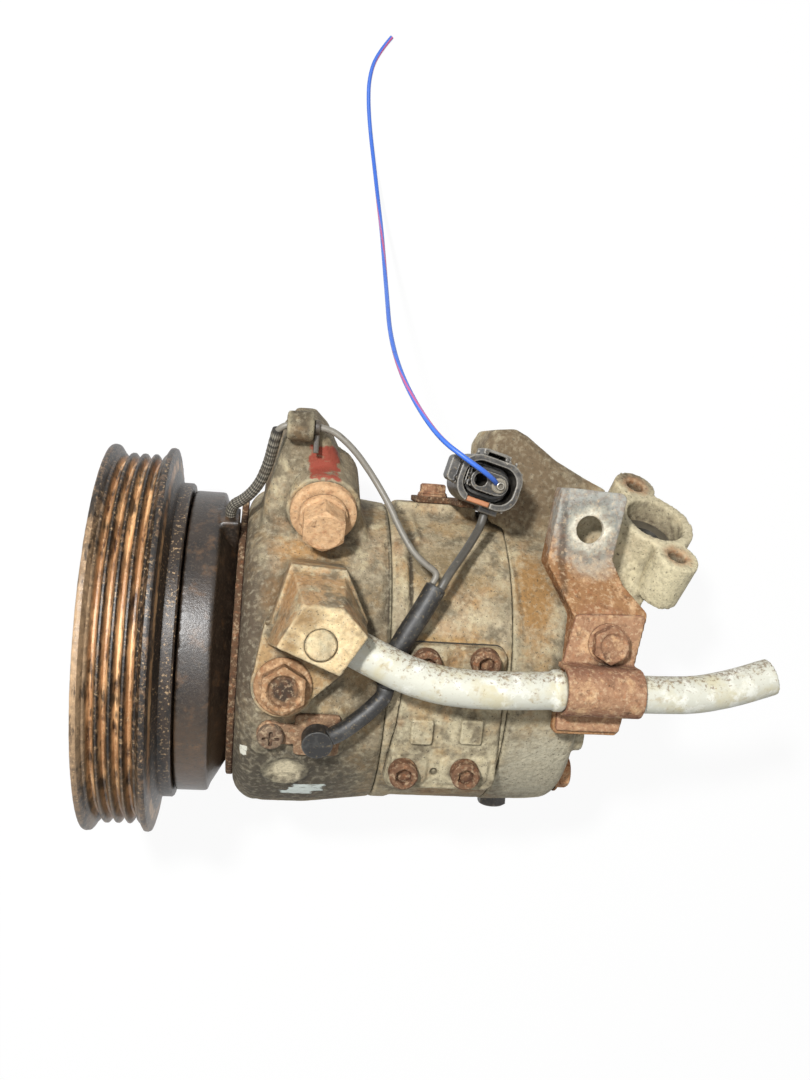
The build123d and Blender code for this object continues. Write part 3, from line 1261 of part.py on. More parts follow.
def make_connector():
    base = Plane(origin=connector_at, x_dir=(cos(radians(connector_turn)), sin(radians(connector_turn)), 0),
                 z_dir=(0, 0, 1))
    shell = extrude(base * RectangleRounded(*shell_size, shell_corner_r), shell_h)
    mouth = [side - 2 * shell_wall for side in shell_size]
    shell -= extrude(base.offset(socket_floor) * RectangleRounded(*mouth, shell_corner_r - 0.9), shell_h)
    lock_slot = Pos(lock_x, lock_y) * Rectangle(lock_size[0] + 2 * run_gap, 2 * lock_size[1])
    shell -= extrude(base.offset(socket_floor + 0.9) * lock_slot, shell_h)
    body = shell + extrude(base.offset(1.0) * SlotOverall(*tower_size), tower_top - 1.0)
    body += extrude(base.offset(5.0) * (Pos(0, latch_y) * Rectangle(*latch_size)), 11.5)
    body -= extrude(base.offset(8.0) * (Pos(0, latch_y) * Rectangle(*latch_slot_size)), 10.0)
    body += extrude(base.offset(9.0) * (Pos(-10.0, 1.0) * RectangleRounded(5.0, 8.0, 1.6)), 7.0)
    body += extrude(base.offset(2.0) * (Pos(4.0, -7.6) * Rectangle(6.0, 2.6)), 7.8)
    for x in (-contact_offset, contact_offset):
        body -= rod(Plane(base.offset(contact_floor) * Pos(x, 0)), contact_r, 20.0)
    save("connector_housing", body)
    around_tower = [side + 2 * run_gap for side in tower_size]
    seal_size = [side + 2.6 for side in tower_size]
    seal = SlotOverall(*seal_size) - SlotOverall(*around_tower)
    save("connector_seal", extrude(base.offset(socket_floor + 0.1) * seal, 4.0))
    lock = Pos(lock_x, lock_y) * Rectangle(*lock_size)
    save("connector_lock", extrude(base.offset(socket_floor + 1.0) * lock, lock_h))
    strip = Pos(107.6, lead_strip_y, 6.0) * Box(20.8, lead_strip_t, 14.0)
    strip += Pos(113.0, lead_strip_y, 21.9) * Box(10.0, lead_strip_t, 18.0)
    strip += Pos(113.0, 58.0, 29.9) * Box(10.0, 15.0, lead_strip_t)
    strip -= rod(lead_screw_plane(lead_strip_y), lead_screw_r + 0.2, 10.0, -5.0)
    save("connector_bracket", strip)
    save("oil_plug", bolt(oil_plug_plane(), oil_plug_r, 7.5, 9.0, 7.4, 6.0, 1.4))


written = []


def save(name, shape):
    """Writes one named sub-part."""
    solids = shape.solids()
    item = solids[0] if len(solids) == 1 else Compound(children=list(solids))
    export_step(item, "parts/%s.step" % name)
    written.append(name)


def main():
    os.makedirs("parts", exist_ok=True)
    save("pulley", make_pulley())
    make_pulley_bearing()
    make_circlips()
    save("clutch_hub", make_clutch_hub())
    make_armature()
    make_hub_fasteners()
    make_coil()
    save("front_head", make_front_head())
    seals = make_seam_seals()
    save("cylinder", make_cylinder())
    seals += make_discharge_parts()
    make_side_plates()
    make_needle_bearings()
    make_rotating_parts()
    make_shaft_seal()
    save("rear_head", make_rear_head())
    make_through_bolts()
    make_check_valve()
    ear_fasteners()
    seals += make_discharge_line()
    save("static_seals", group(seals))
    make_bracket()
    make_protector()
    make_leads()
    make_connector()
    print(len(written), "sub-parts")


main()
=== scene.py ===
"""Finishes and fine forms of a used belt-driven vane compressor with its magnetic clutch.

Every piece stands in the compressor's own frame: +X runs along the shaft from the clutch to the rear, and +Z
points away from the mounting feet. Points and sizes are in mm, and the meshes are in metres.
"""

import math

import bmesh
import bpy
import numpy as np
from bpy.props import FloatProperty, FloatVectorProperty, IntProperty, PointerProperty
from mathutils import Matrix, Vector


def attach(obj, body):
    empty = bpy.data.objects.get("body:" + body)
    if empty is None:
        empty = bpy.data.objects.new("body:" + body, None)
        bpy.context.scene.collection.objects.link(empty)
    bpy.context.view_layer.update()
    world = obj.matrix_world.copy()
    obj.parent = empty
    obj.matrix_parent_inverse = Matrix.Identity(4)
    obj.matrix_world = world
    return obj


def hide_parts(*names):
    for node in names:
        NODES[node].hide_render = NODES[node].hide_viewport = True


bl_info = {
    "name": "Vane compressor dressing",
    "version": (1, 0, 0),
    "blender": (4, 5, 0),
    "location": "3D View > Sidebar > Compressor",
    "description": "Builds the visible pieces and finishes of a belt-driven vane compressor",
    "category": "Object",
}

MM = 0.001
FLOOR_Z = -62.6         # mm, just under the feet and the pulley's rim
CORNER_STRETCH = 1.14   # a hexagon's corners stop a little short of 1 / cos(30 degrees), as forged ones do
# Painted shadow along the castings' seams and grooves.
SEAM_SHADOW = "#2a231a"
CHALK = "#dfe6de"
LUG_RUST = "#a1734e"
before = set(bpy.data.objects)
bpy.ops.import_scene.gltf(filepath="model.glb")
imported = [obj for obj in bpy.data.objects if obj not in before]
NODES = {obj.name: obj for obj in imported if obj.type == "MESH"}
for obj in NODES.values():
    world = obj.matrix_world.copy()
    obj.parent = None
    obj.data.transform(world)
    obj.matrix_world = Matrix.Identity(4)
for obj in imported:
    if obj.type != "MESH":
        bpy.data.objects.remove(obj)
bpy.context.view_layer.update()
TREES = {}


def linear(code):
    """The linear colour of an sRGB hex value."""
    channels = [int(code[place : place + 2], 16) / 255 for place in (1, 3, 5)]
    return tuple(c / 12.92 if c <= 0.04045 else ((c + 0.055) / 1.055) ** 2.4 for c in channels) + (1.0,)


def colour(name, code, description):
    return FloatVectorProperty(
        name=name, description=description, subtype="COLOR", size=4, min=0, max=1, default=linear(code)
    )


def length(name, mm, description):
    return FloatProperty(
        name=name, description=description, subtype="DISTANCE", unit="LENGTH", default=mm * MM
    )


# ---------------------------------------------------------------- sizes and colours that a user would change
class CastingLook(bpy.types.PropertyGroup):
    """The sand-cast aluminium housings."""

    grain: length("Skin size", 0.86, "Edge of the skin's faces on a casting")
    lumps: length("Cast lumps", 0.13, "Height of the sand-cast lumps")
    metal: colour("Metal", "#998c73", "Weathered aluminium of the front casting, under the dust")
    dust: colour("Dust", "#a2875f", "Baked tan dust")
    # The soot colour also paints the shade where other surfaces close in.
    soot: colour("Soot", "#473d30", "Oily soot in hollows")
    rust: colour("Rust stain", "#a3713f", "Rust washed down from the steel parts")


class ClutchLook(bpy.types.PropertyGroup):
    """The pulley, rotor and coil case."""

    segments: IntProperty(name="Segments", description="Steps round the pulley", default=288, min=48)
    wear: length("Wear", 0.16, "Depth of nicks in the belt ribs and flanges")
    oil: colour("Oily black", "#1a130d", "Grease baked on the ribs and flanges")
    valley: colour("Groove rust", "#a57a52", "Rust in the grooves between the ribs")
    shell: colour("Shell paint", "#2c221a", "Dark satin paint of the rotor and coil case")


class SteelLook(bpy.types.PropertyGroup):
    """Rusted bolts, washers, bracket and clamp."""

    rust: colour("Rust", "#9c6c4a", "Main rust of the small steel parts")
    tan: colour("Dusty rust", "#cda880", "Dust-covered rust on faces that look up")
    # The dark rust colour also paints shade where other surfaces close in.
    dark: colour("Dark rust", "#47342a", "Dark rust in corners")


class LineLook(bpy.types.PropertyGroup):
    """The discharge pipe and the leads."""

    pipe: colour("Pipe oxide", "#c5c4b6", "Pale oxide of the aluminium pipe")
    pipe_speck: colour("Pipe specks", "#6e5638", "Brown specks along one side of the pipe")
    blue: colour("Wire blue", "#3766c4", "Insulation of the loose wire")
    pink: colour("Wire stripe", "#b8527a", "Stripe that winds slowly round the loose wire")
    stripe_turn: length("Stripe turn", 100.0, "Length of wire in which the stripe goes round once")


# ---------------------------------------------------------------- nodes, trees and meshes
def add(tree, kind, inputs=(), **settings):
    """Adds one node with its settings. inputs gives a socket a value, an output or a node's first output."""
    made = tree.nodes.new(kind)
    for key, value in settings.items():
        setattr(made, key, value)
    for socket, value in dict(inputs).items():
        if isinstance(value, bpy.types.Node):
            value = value.outputs[0]
        if isinstance(value, bpy.types.NodeSocket):
            tree.links.new(value, made.inputs[socket])
        else:
            made.inputs[socket].default_value = value
    return made


def new_tree(name, sockets):
    """A Geometry Nodes tree with a geometry input and output and the named inputs."""
    tree = bpy.data.node_groups.new(name, "GeometryNodeTree")
    tree.interface.new_socket("Geometry", in_out="INPUT", socket_type="NodeSocketGeometry")
    for label, kind in sockets.items():
        tree.interface.new_socket(label, in_out="INPUT", socket_type="NodeSocket" + kind)
    tree.interface.new_socket("Geometry", in_out="OUTPUT", socket_type="NodeSocketGeometry")
    return tree, add(tree, "NodeGroupInput").outputs


def close_tree(tree, geometry, paint):
    """Ends a tree in smooth shading, real geometry and its material."""
    smooth = add(tree, "GeometryNodeSetShadeSmooth", {0: geometry})
    real = add(tree, "GeometryNodeRealizeInstances", {0: smooth})
    painted = add(tree, "GeometryNodeSetMaterial", {"Geometry": real, "Material": paint})
    add(tree, "NodeGroupOutput", {0: painted})
    return tree


def skin_tree():
    """Moves a surface along its normals by a noise of one size, as sand casting, rust and wear do."""
    tree, given = new_tree("worn_skin", {"Wear": "Float", "Wear Size": "Float", "Material": "Material"})
    often = add(tree, "ShaderNodeMath", {0: 1.0, 1: given["Wear Size"]}, operation="DIVIDE")
    place = add(tree, "GeometryNodeInputPosition")
    cloud = add(tree, "ShaderNodeTexNoise",
                {"Vector": place, "Scale": often, "Detail": 4.0, "Roughness": 0.6})
    swing = add(tree, "ShaderNodeMath", {0: cloud, 1: 2.0, 2: -1.0}, operation="MULTIPLY_ADD")
    push = add(tree, "ShaderNodeMath", {0: swing, 1: given["Wear"]}, operation="MULTIPLY")
    normal = add(tree, "GeometryNodeInputNormal")
    offset = add(tree, "ShaderNodeVectorMath", {0: normal, "Scale": push}, operation="SCALE")
    moved = add(tree, "GeometryNodeSetPosition", {0: given["Geometry"], "Offset": offset})
    return close_tree(tree, moved, given["Material"])


def swept_tree():
    """A tube along a path: a woven relief on it, and a stripe that winds round it, kept as attributes."""
    tree, given = new_tree("swept", {
        "Radius": "Float", "Sides": "Int", "Stripe Turn": "Float", "Stripe Start": "Float",
        "Weave": "Float", "Weave Turn": "Float", "Strands": "Float", "Material": "Material",
    })
    line = add(tree, "GeometryNodeMeshToCurve", {0: given["Geometry"]})
    run = add(tree, "GeometryNodeSplineParameter").outputs["Length"]
    line = add(tree, "GeometryNodeStoreNamedAttribute", {"Geometry": line, "Name": "along", "Value": run},
               data_type="FLOAT")
    circle = add(tree, "GeometryNodeCurvePrimitiveCircle",
                 {"Resolution": given["Sides"], "Radius": given["Radius"]})
    share = add(tree, "GeometryNodeSplineParameter").outputs["Factor"]
    circle = add(tree, "GeometryNodeStoreNamedAttribute",
                 {"Geometry": circle, "Name": "round", "Value": share}, data_type="FLOAT")
    tube = add(tree, "GeometryNodeCurveToMesh", {"Curve": line, "Profile Curve": circle, "Fill Caps": True})
    along = add(tree, "GeometryNodeInputNamedAttribute", {"Name": "along"})
    turn = add(tree, "GeometryNodeInputNamedAttribute", {"Name": "round"})
    wound = add(tree, "ShaderNodeMath", {0: along, 1: given["Stripe Turn"]}, operation="DIVIDE")
    phase = add(tree, "ShaderNodeMath", {0: turn, 1: wound}, operation="ADD")
    phase = add(tree, "ShaderNodeMath", {0: phase, 1: given["Stripe Start"]}, operation="SUBTRACT")
    angle = add(tree, "ShaderNodeMath", {0: phase, 1: 2 * math.pi}, operation="MULTIPLY")
    stripe = add(tree, "ShaderNodeMath", {0: angle}, operation="COSINE")
    tube = add(tree, "GeometryNodeStoreNamedAttribute", {"Geometry": tube, "Name": "stripe", "Value": stripe},
               data_type="FLOAT")
    strands = add(tree, "ShaderNodeMath", {0: turn, 1: given["Strands"]}, operation="MULTIPLY")
    turns = add(tree, "ShaderNodeMath", {0: along, 1: given["Weave Turn"]}, operation="DIVIDE")
    waves = []
    for way in ("ADD", "SUBTRACT"):
        phase = add(tree, "ShaderNodeMath", {0: strands, 1: turns}, operation=way)
        angle = add(tree, "ShaderNodeMath", {0: phase, 1: 2 * math.pi}, operation="MULTIPLY")
        waves.append(add(tree, "ShaderNodeMath", {0: angle}, operation="SINE"))
    weave = add(tree, "ShaderNodeMath", {0: waves[0], 1: waves[1]}, operation="MULTIPLY")
    tube = add(tree, "GeometryNodeStoreNamedAttribute", {"Geometry": tube, "Name": "weave", "Value": weave},
               data_type="FLOAT")
    push = add(tree, "ShaderNodeMath", {0: weave, 1: given["Weave"]}, operation="MULTIPLY")
    normal = add(tree, "GeometryNodeInputNormal")
    offset = add(tree, "ShaderNodeVectorMath", {0: normal, "Scale": push}, operation="SCALE")
    woven = add(tree, "GeometryNodeSetPosition", {0: tube, "Offset": offset})
    return close_tree(tree, woven, given["Material"])


def set_out_tree():
    """Puts a template on each point, its Z along the point's axis attribute."""
    tree, given = new_tree("set_out", {"Template": "Object", "Material": "Material"})
    template = add(tree, "GeometryNodeObjectInfo", {"Object": given["Template"]}).outputs["Geometry"]
    axis = add(tree, "GeometryNodeInputNamedAttribute", {"Name": "axis"}, data_type="FLOAT_VECTOR")
    facing = add(tree, "FunctionNodeAlignRotationToVector", {"Vector": axis}, axis="Z")
    placed = add(tree, "GeometryNodeInstanceOnPoints",
                 {"Points": given["Geometry"], "Instance": template, "Rotation": facing})
    return close_tree(tree, placed, given["Material"])


def piece(name, mesh):
    """An object at the origin that shows a mesh."""
    made = bpy.data.objects.new(name, mesh)
    bpy.context.scene.collection.objects.link(made)
    return made


def settle(made):
    """Turns what an object's modifiers give into its plain mesh and removes them."""
    graph = bpy.context.evaluated_depsgraph_get()
    graph.update()
    mesh = bpy.data.meshes.new_from_object(made.evaluated_get(graph), depsgraph=graph)
    made.modifiers.clear()
    made.data = mesh
    mesh.name = made.name
    return made


def grow(made, tree, **inputs):
    """Runs a tree on an object with the named inputs and keeps the result as its mesh."""
    modifier = made.modifiers.new("grow", "NODES")
    modifier.node_group = TREES[tree]
    items = TREES[tree].interface.items_tree
    sockets = {item.name: item.identifier for item in items if item.in_out == "INPUT"}
    for label, value in inputs.items():
        modifier[sockets[label.replace("_", " ")]] = value
    return settle(made)


def finish_edges(made, angle=32.0):
    """Welds a mesh, turns its faces outwards, and shades it smooth between its real edges."""
    form = bmesh.new()
    form.from_mesh(made.data)
    bmesh.ops.remove_doubles(form, verts=form.verts, dist=1e-6)
    bmesh.ops.recalc_face_normals(form, faces=form.faces)
    form.to_mesh(made.data)
    form.free()
    made.data.shade_smooth()
    made.data.set_sharp_from_angle(angle=math.radians(angle))
    return made


def fit(made, body, slot, *nodes):
    """Gives a finished piece its body and hides the CAD nodes that it stands for. The slot is not used."""
    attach(made, body)
    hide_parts(*nodes)
    return made


def paint_nodes(paint, *names):
    """Puts a material on CAD nodes that are shown as they are."""
    for name in names:
        NODES[name].data.materials.clear()
        NODES[name].data.materials.append(paint)


def frame_at(origin, axis):
    """The matrix that takes a shape built on Z to a place in mm, with its Z along axis."""
    turn = Vector(axis).normalized().to_track_quat("Z", "Y").to_matrix().to_4x4()
    return Matrix.Translation(Vector(origin) * MM) @ turn


def lean(angle, x, side, height):
    """A point and outward direction on a plane that leans from +Z towards -Y by an angle."""
    a = math.radians(angle)
    out = Vector((0, -math.sin(a), math.cos(a)))
    return Vector((x, 0, 0)) + Vector((0, math.cos(a), math.sin(a))) * side + out * height, out


def arc(x0, x1, radius, start, end):
    """Points along the outside of a casting, from one angle about the shaft to another."""
    steps = 10
    points = []
    for number in range(steps + 1):
        share = number / steps
        a = math.radians(start + (end - start) * share)
        points.append((x0 + (x1 - x0) * share, radius * math.cos(a), radius * math.sin(a)))
    return points


def read_points(mesh, field="co"):
    """One row for each vertex: its place or its normal."""
    values = np.empty(len(mesh.vertices) * 3)
    mesh.vertices.foreach_get(field, values)
    return values.reshape(-1, 3)


def hexagon(made, flat_r):
    """Squares a turned head's rows at one radius (mm) into a hexagon, its upper corners turned off."""
    spots = read_points(made.data) / MM
    radius = np.hypot(spots[:, 0], spots[:, 1])
    sixth = math.pi / 3
    wedge = (np.arctan2(spots[:, 1], spots[:, 0]) + sixth / 2) % sixth - sixth / 2
    flats = np.abs(radius - flat_r) < 0.01 * flat_r
    stretch = np.where(flats, np.minimum(1 / np.cos(wedge), CORNER_STRETCH), 1.0)
    top = flats & (spots[:, 2] > spots[flats, 2].max() - 0.01)
    spots[:, 2] -= np.where(top, radius * (stretch - 1) * math.tan(sixth / 2), 0)
    spots[:, :2] *= stretch[:, None]
    made.data.vertices.foreach_set("co", (spots * MM).ravel())
    made.data.update()


def turned(name, points, place, paint, segments=96, flat_r=0.0, wear=0.05, wear_size=2.0, step=0.6):
    """A piece turned from (radius, height) points in mm, from its axis or round a closed outline."""
    rows = [Vector(points[0])]
    for start, end in zip(points, points[1:]):
        run = Vector(end) - Vector(start)
        count = max(1, math.ceil(run.length / step)) if max(start[1], end[1]) > 0.01 else 1
        rows += [Vector(start) + run * (number + 1) / count for number in range(count)]
    mesh = bpy.data.meshes.new(name)
    mesh.from_pydata([(row.x * MM, 0, row.y * MM) for row in rows],
                     [(number, number + 1) for number in range(len(rows) - 1)], [])
    made = piece(name, mesh)
    spin = made.modifiers.new("spin", "SCREW")
    spin.steps = spin.render_steps = segments
    spin.use_merge_vertices = True
    spin.merge_threshold = 1e-6
    settle(made)
    if flat_r:
        hexagon(made, flat_r)
    made.data.transform(place)
    finish_edges(made)
    return finish_edges(grow(made, "skin", Wear=wear * MM, Wear_Size=wear_size * MM, Material=paint))


def hex_bolt(name, place, paint, across_flats, height, shank_r, shank_len, flange_r=0.0, flange_t=0.0,
             dish=0.5):
    """A forged hexagon bolt that stands on Z: dished top, chamfered flats, flange and shank."""
    r = across_flats / 2
    outline = [(0, height - dish), (0.66 * r, height - dish), (0.78 * r, height - 0.05), (0.92 * r, height),
               (r, height - 0.3)]
    if flange_r:
        outline += [(r, flange_t + 0.7), (r * 1.14 + 0.3, flange_t), (flange_r - 0.3, flange_t - 0.15),
                    (flange_r, flange_t - 0.5), (flange_r, 0)]
    else:
        outline += [(r, 0)]
    outline += [(shank_r, 0), (shank_r, -shank_len + 0.6), (shank_r - 0.6, -shank_len), (0, -shank_len)]
    return turned(name, outline, place, paint, flat_r=r)


def washer(name, place, paint, outer, inner, thick):
    """A punched washer with rolled edges that lies on Z."""
    outline = [(inner, 0), (inner, thick - 0.3), (inner + 0.4, thick), (outer - 0.9, thick),
               (outer - 0.2, thick - 0.35), (outer, thick - 0.9), (outer, 0.5), (outer - 0.4, 0), (inner, 0)]
    return turned(name, outline, place, paint, wear=0.09, wear_size=2.5)


def joined(name, *parts):
    """One piece from several."""
    form = bmesh.new()
    for part in parts:
        form.from_mesh(part.data)
    mesh = bpy.data.meshes.new(name)
    form.to_mesh(mesh)
    form.free()
    for paint in parts[0].data.materials:
        mesh.materials.append(paint)
    for part in parts:
        bpy.data.objects.remove(part)
    return finish_edges(piece(name, mesh))


def smooth_line(name, points):
    """The NURBS line that takes a route's points, in mm, as its control points."""
    data = bpy.data.curves.new(name, "CURVE")
    data.dimensions = "3D"
    data.resolution_u = 10
    spline = data.splines.new("NURBS")
    spline.points.add(len(points) - 1)
    for control, point in zip(spline.points, points):
        control.co = (*[c * MM for c in point], 1)
    spline.order_u = 3
    spline.use_endpoint_u = True
    line = piece(name, data)
    graph = bpy.context.evaluated_depsgraph_get()
    graph.update()
    mesh = bpy.data.meshes.new_from_object(line.evaluated_get(graph), depsgraph=graph)
    bpy.data.objects.remove(line)
    return mesh


def swept(name, line, radius, paint, sides, turn=100.0, start=0.0, weave=0.0, weave_turn=1.0, strands=1.0):
    """A tube of one radius along a line, in mm. Its stripe starts at start and goes round once a turn."""
    made = piece(name, line)
    grow(made, "swept", Radius=radius * MM, Sides=sides, Stripe_Turn=turn * MM, Stripe_Start=start,
         Weave=weave * MM, Weave_Turn=weave_turn * MM, Strands=strands, Material=paint)
    return finish_edges(made, 50)


def set_out(name, template, places, paint):
    """Copies of a template at (origin in mm, axis) places, as one piece."""
    mesh = bpy.data.meshes.new(name)
    mesh.from_pydata([Vector(origin) * MM for origin, axis in places], [], [])
    axes = mesh.attributes.new("axis", "FLOAT_VECTOR", "POINT")
    axes.data.foreach_set("vector", [c for origin, axis in places for c in axis])
    made = grow(piece(name, mesh), "set_out", Template=template, Material=paint)
    bpy.data.objects.remove(template)
    return finish_edges(made)


def carve(made, marks):
    """Presses grooves (negative height) or raises ridges along points, all in mm: (points, width, height)."""
    spots = read_points(made.data) / MM
    move = np.zeros(len(spots))
    for points, width, height in marks:
        nearest = np.full(len(spots), 1e9)
        for start, end in zip(points, points[1:]):
            run = np.array(end) - np.array(start)
            share = np.clip((spots - start) @ run / (run @ run), 0, 1)
            nearest = np.minimum(nearest, np.linalg.norm(spots - start - share[:, None] * run, axis=1))
        fall = np.clip(1 - nearest / width, 0, 1)
        move += height * fall * fall * (3 - 2 * fall)
    spots += read_points(made.data, "normal") * move[:, None]
    made.data.vertices.foreach_set("co", (spots * MM).ravel())
    made.data.update()


def skin(name, node, body, slot, paint, grain, wear=0.1, wear_size=3.0, rounds=3, marks=(), place=None,
         boxes=()):
    """A worn skin with soft edges for a CAD node, and for (centre, size) boxes in a place's own frame."""
    form = bmesh.new()
    form.from_mesh(NODES[node].data)
    bmesh.ops.remove_doubles(form, verts=form.verts, dist=2e-6)
    for centre, size in boxes:
        shape = Matrix.LocRotScale(Vector(centre) * MM, None, Vector(size) * MM)
        bmesh.ops.create_cube(form, size=1, matrix=place @ shape)
    mesh = bpy.data.meshes.new(name)
    form.to_mesh(mesh)
    form.free()
    made = piece(name, mesh)
    remesh = made.modifiers.new("skin", "REMESH")
    remesh.mode = "VOXEL"
    remesh.voxel_size = grain * MM
    soften = made.modifiers.new("soften", "SMOOTH")
    soften.factor = 0.5
    soften.iterations = rounds
    settle(made)
    if marks:
        carve(made, marks)
    grow(made, "skin", Wear=wear * MM, Wear_Size=wear_size * MM, Material=paint)
    return fit(made, body, slot, node)


# ---------------------------------------------------------------- finishes
def seen_rays(tree):
    """Rays that meet a plain white background: the camera's own, and those that metal or glass passes on."""
    paths = add(tree, "ShaderNodeLightPath").outputs
    passed = add(tree, "ShaderNodeMath", {0: paths["Is Glossy Ray"], 1: paths["Is Transmission Ray"]},
                 operation="MAXIMUM")
    return add(tree, "ShaderNodeMath", {0: paths["Is Camera Ray"], 1: passed}, operation="MAXIMUM")


def blank_material(name, **settings):
    """A new material: its tree, its shader and object coordinates in mm."""
    paint = bpy.data.materials.new(name)
    paint.use_nodes = True
    tree = paint.node_tree
    shader = tree.nodes["Principled BSDF"]
    for socket, value in settings.items():
        shader.inputs[socket.replace("_", " ")].default_value = value
    coordinates = add(tree, "ShaderNodeTexCoord")
    place = add(tree, "ShaderNodeVectorMath", {0: coordinates.outputs["Object"], "Scale": 1 / MM},
                operation="SCALE").outputs[0]
    return paint, tree, shader, place


def blotches(tree, place, size, low=0.5, high=0.62, strength=1.0, detail=5.0, stretch=(1, 1, 1)):
    """A mask of blotches about as wide as size in mm, longer along an axis where stretch is under 1."""
    scaled = add(tree, "ShaderNodeMapping", {"Vector": place, "Scale": stretch})
    cloud = add(tree, "ShaderNodeTexNoise", {"Vector": scaled, "Scale": 1 / size, "Detail": detail,
                                            "Roughness": 0.62})
    return add(tree, "ShaderNodeMapRange",
               {"Value": cloud, "From Min": low, "From Max": high, "To Max": strength})


def patch(tree, place, centre, reach, strength=1.0, edge=0.55, square=False):
    """A mask round a centre that ends at a reach along each axis in mm, with a ragged border."""
    local = add(tree, "ShaderNodeMapping",
                {"Vector": place, "Location": [-c / r for c, r in zip(centre, reach)],
                 "Scale": [1 / r for r in reach]})
    if square:
        sides = add(tree, "ShaderNodeVectorMath", {0: local}, operation="ABSOLUTE")
        sides = add(tree, "ShaderNodeSeparateXYZ", {0: sides}).outputs
        widest = add(tree, "ShaderNodeMath", {0: sides[0], 1: sides[1]}, operation="MAXIMUM")
        distance = add(tree, "ShaderNodeMath", {0: widest, 1: sides[2]}, operation="MAXIMUM").outputs[0]
    else:
        distance = add(tree, "ShaderNodeVectorMath", {0: local}, operation="LENGTH").outputs["Value"]
    cloud = add(tree, "ShaderNodeTexNoise", {"Vector": place, "Scale": 0.45, "Detail": 5.0})
    ragged = add(tree, "ShaderNodeMath", {0: cloud, 1: 0.9, 2: distance}, operation="MULTIPLY_ADD")
    return add(tree, "ShaderNodeMapRange", {"Value": ragged, "From Min": 1.5, "From Max": 1.5 - edge,
                                           "To Max": strength})


def layered(tree, tint, *layers):
    """Colours laid over each other: each layer is (colour, mask)."""
    for over, mask in layers:
        over = linear(over) if isinstance(over, str) else over
        tint = add(tree, "ShaderNodeMix", {0: mask, 6: tint, 7: over}, data_type="RGBA").outputs[2]
    return tint


def bent(tree, start, full, strength):
    """A mask of a dense skin's hollows (full under 0.5) or outer edges (full over 0.5)."""
    bend = add(tree, "ShaderNodeNewGeometry").outputs["Pointiness"]
    return add(tree, "ShaderNodeMapRange",
               {"Value": bend, "From Min": start, "From Max": full, "To Max": strength})


def hollow_shade_and_grime(tree, reach, strength):
    """A mask of places that other surfaces close in on, within a reach in mm: painted shade there, with
    grime.
    """
    shut = add(tree, "ShaderNodeAmbientOcclusion", {"Distance": reach * MM}, samples=6).outputs["AO"]
    return add(tree, "ShaderNodeMapRange",
               {"Value": shut, "From Min": 0.62, "From Max": 0.2, "To Max": strength})


def upward(tree, strength):
    """A mask of faces that look up, where dust lies."""
    normal = add(tree, "ShaderNodeTexCoord").outputs["Normal"]
    height = add(tree, "ShaderNodeSeparateXYZ", {0: normal}).outputs["Z"]
    return add(tree, "ShaderNodeMapRange",
               {"Value": height, "From Min": 0.55, "From Max": 0.95, "To Max": strength})


def rough_up(tree, shader, place, size, depth, strength=0.6):
    """A bump of one grain size and depth in mm."""
    grain = add(tree, "ShaderNodeTexNoise",
                {"Vector": place, "Scale": 1 / size, "Detail": 6.0, "Roughness": 0.65})
    bump = add(tree, "ShaderNodeBump", {"Height": grain, "Distance": depth * MM, "Strength": strength})
    tree.links.new(bump.outputs[0], shader.inputs["Normal"])


def cast_aluminium(name, look, metal=None, soot=0.5, stains=(), squares=()):
    """Sand-cast aluminium, never machined outside: matt and khaki, with dust, black pits and bare grains.

    A stain or square is (centre, reach, colour, strength), in mm.
    """
    paint, tree, shader, place = blank_material(name, Roughness=0.78)
    shader.inputs["Specular IOR Level"].default_value = 0.3
    tint = layered(
        tree, metal or look.metal,
        (look.dust, blotches(tree, place, 12.0, 0.46, 0.62, 0.85)),
        ("#c4b795", blotches(tree, place, 5.0, 0.52, 0.64, 0.75)),
        ("#6d6350", blotches(tree, place, 7.0, 0.5, 0.62, 0.8)),
        (look.rust, blotches(tree, place, 16.0, 0.55, 0.68, 0.45)),
        (look.soot, blotches(tree, place, 20.0, 0.52 - 0.1 * soot, 0.7, 0.8)),
    )
    for centre, reach, code, strength in stains:
        tint = layered(tree, tint, (code, patch(tree, place, centre, reach, strength)))
    # Painted shade with grime where other surfaces close in, darker hollows in the skin, rubbed edges, then
    # grit. Grit is drawn 1 to 2 mm wide, so that it shows.
    tint = layered(
        tree, tint,
        (look.soot, hollow_shade_and_grime(tree, 7.0, 0.85)),
        ("#3a3226", bent(tree, 0.495, 0.44, 0.8)),
        ("#d6cba9", bent(tree, 0.515, 0.58, 0.5)),
        ("#4a4030", blotches(tree, place, 1.3, 0.46, 0.66, 0.34, 6.0)),
        ("#ddd2b4", blotches(tree, place, 1.6, 0.5, 0.68, 0.28, 6.0)),
        ("#2a2219", blotches(tree, place, 0.8, 0.61, 0.67, 0.7, 3.0)),
    )
    for centre, reach, code, strength in squares:
        daub = patch(tree, place, centre, reach, strength, 0.15, square=True)
        strokes = blotches(tree, place, 2.2, 0.3, 0.42, 1.0, 5.0, (0.4, 1, 1))
        worn = add(tree, "ShaderNodeMath", {0: daub, 1: strokes}, operation="MULTIPLY")
        tint = layered(tree, tint, (code, worn))
    tree.links.new(tint, shader.inputs["Base Color"])
    # Foundry sand leaves a 0.3 mm grain, drawn 1.1 mm wide here, so that it shows.
    rough_up(tree, shader, place, 1.1, 0.45, 1.0)
    return paint


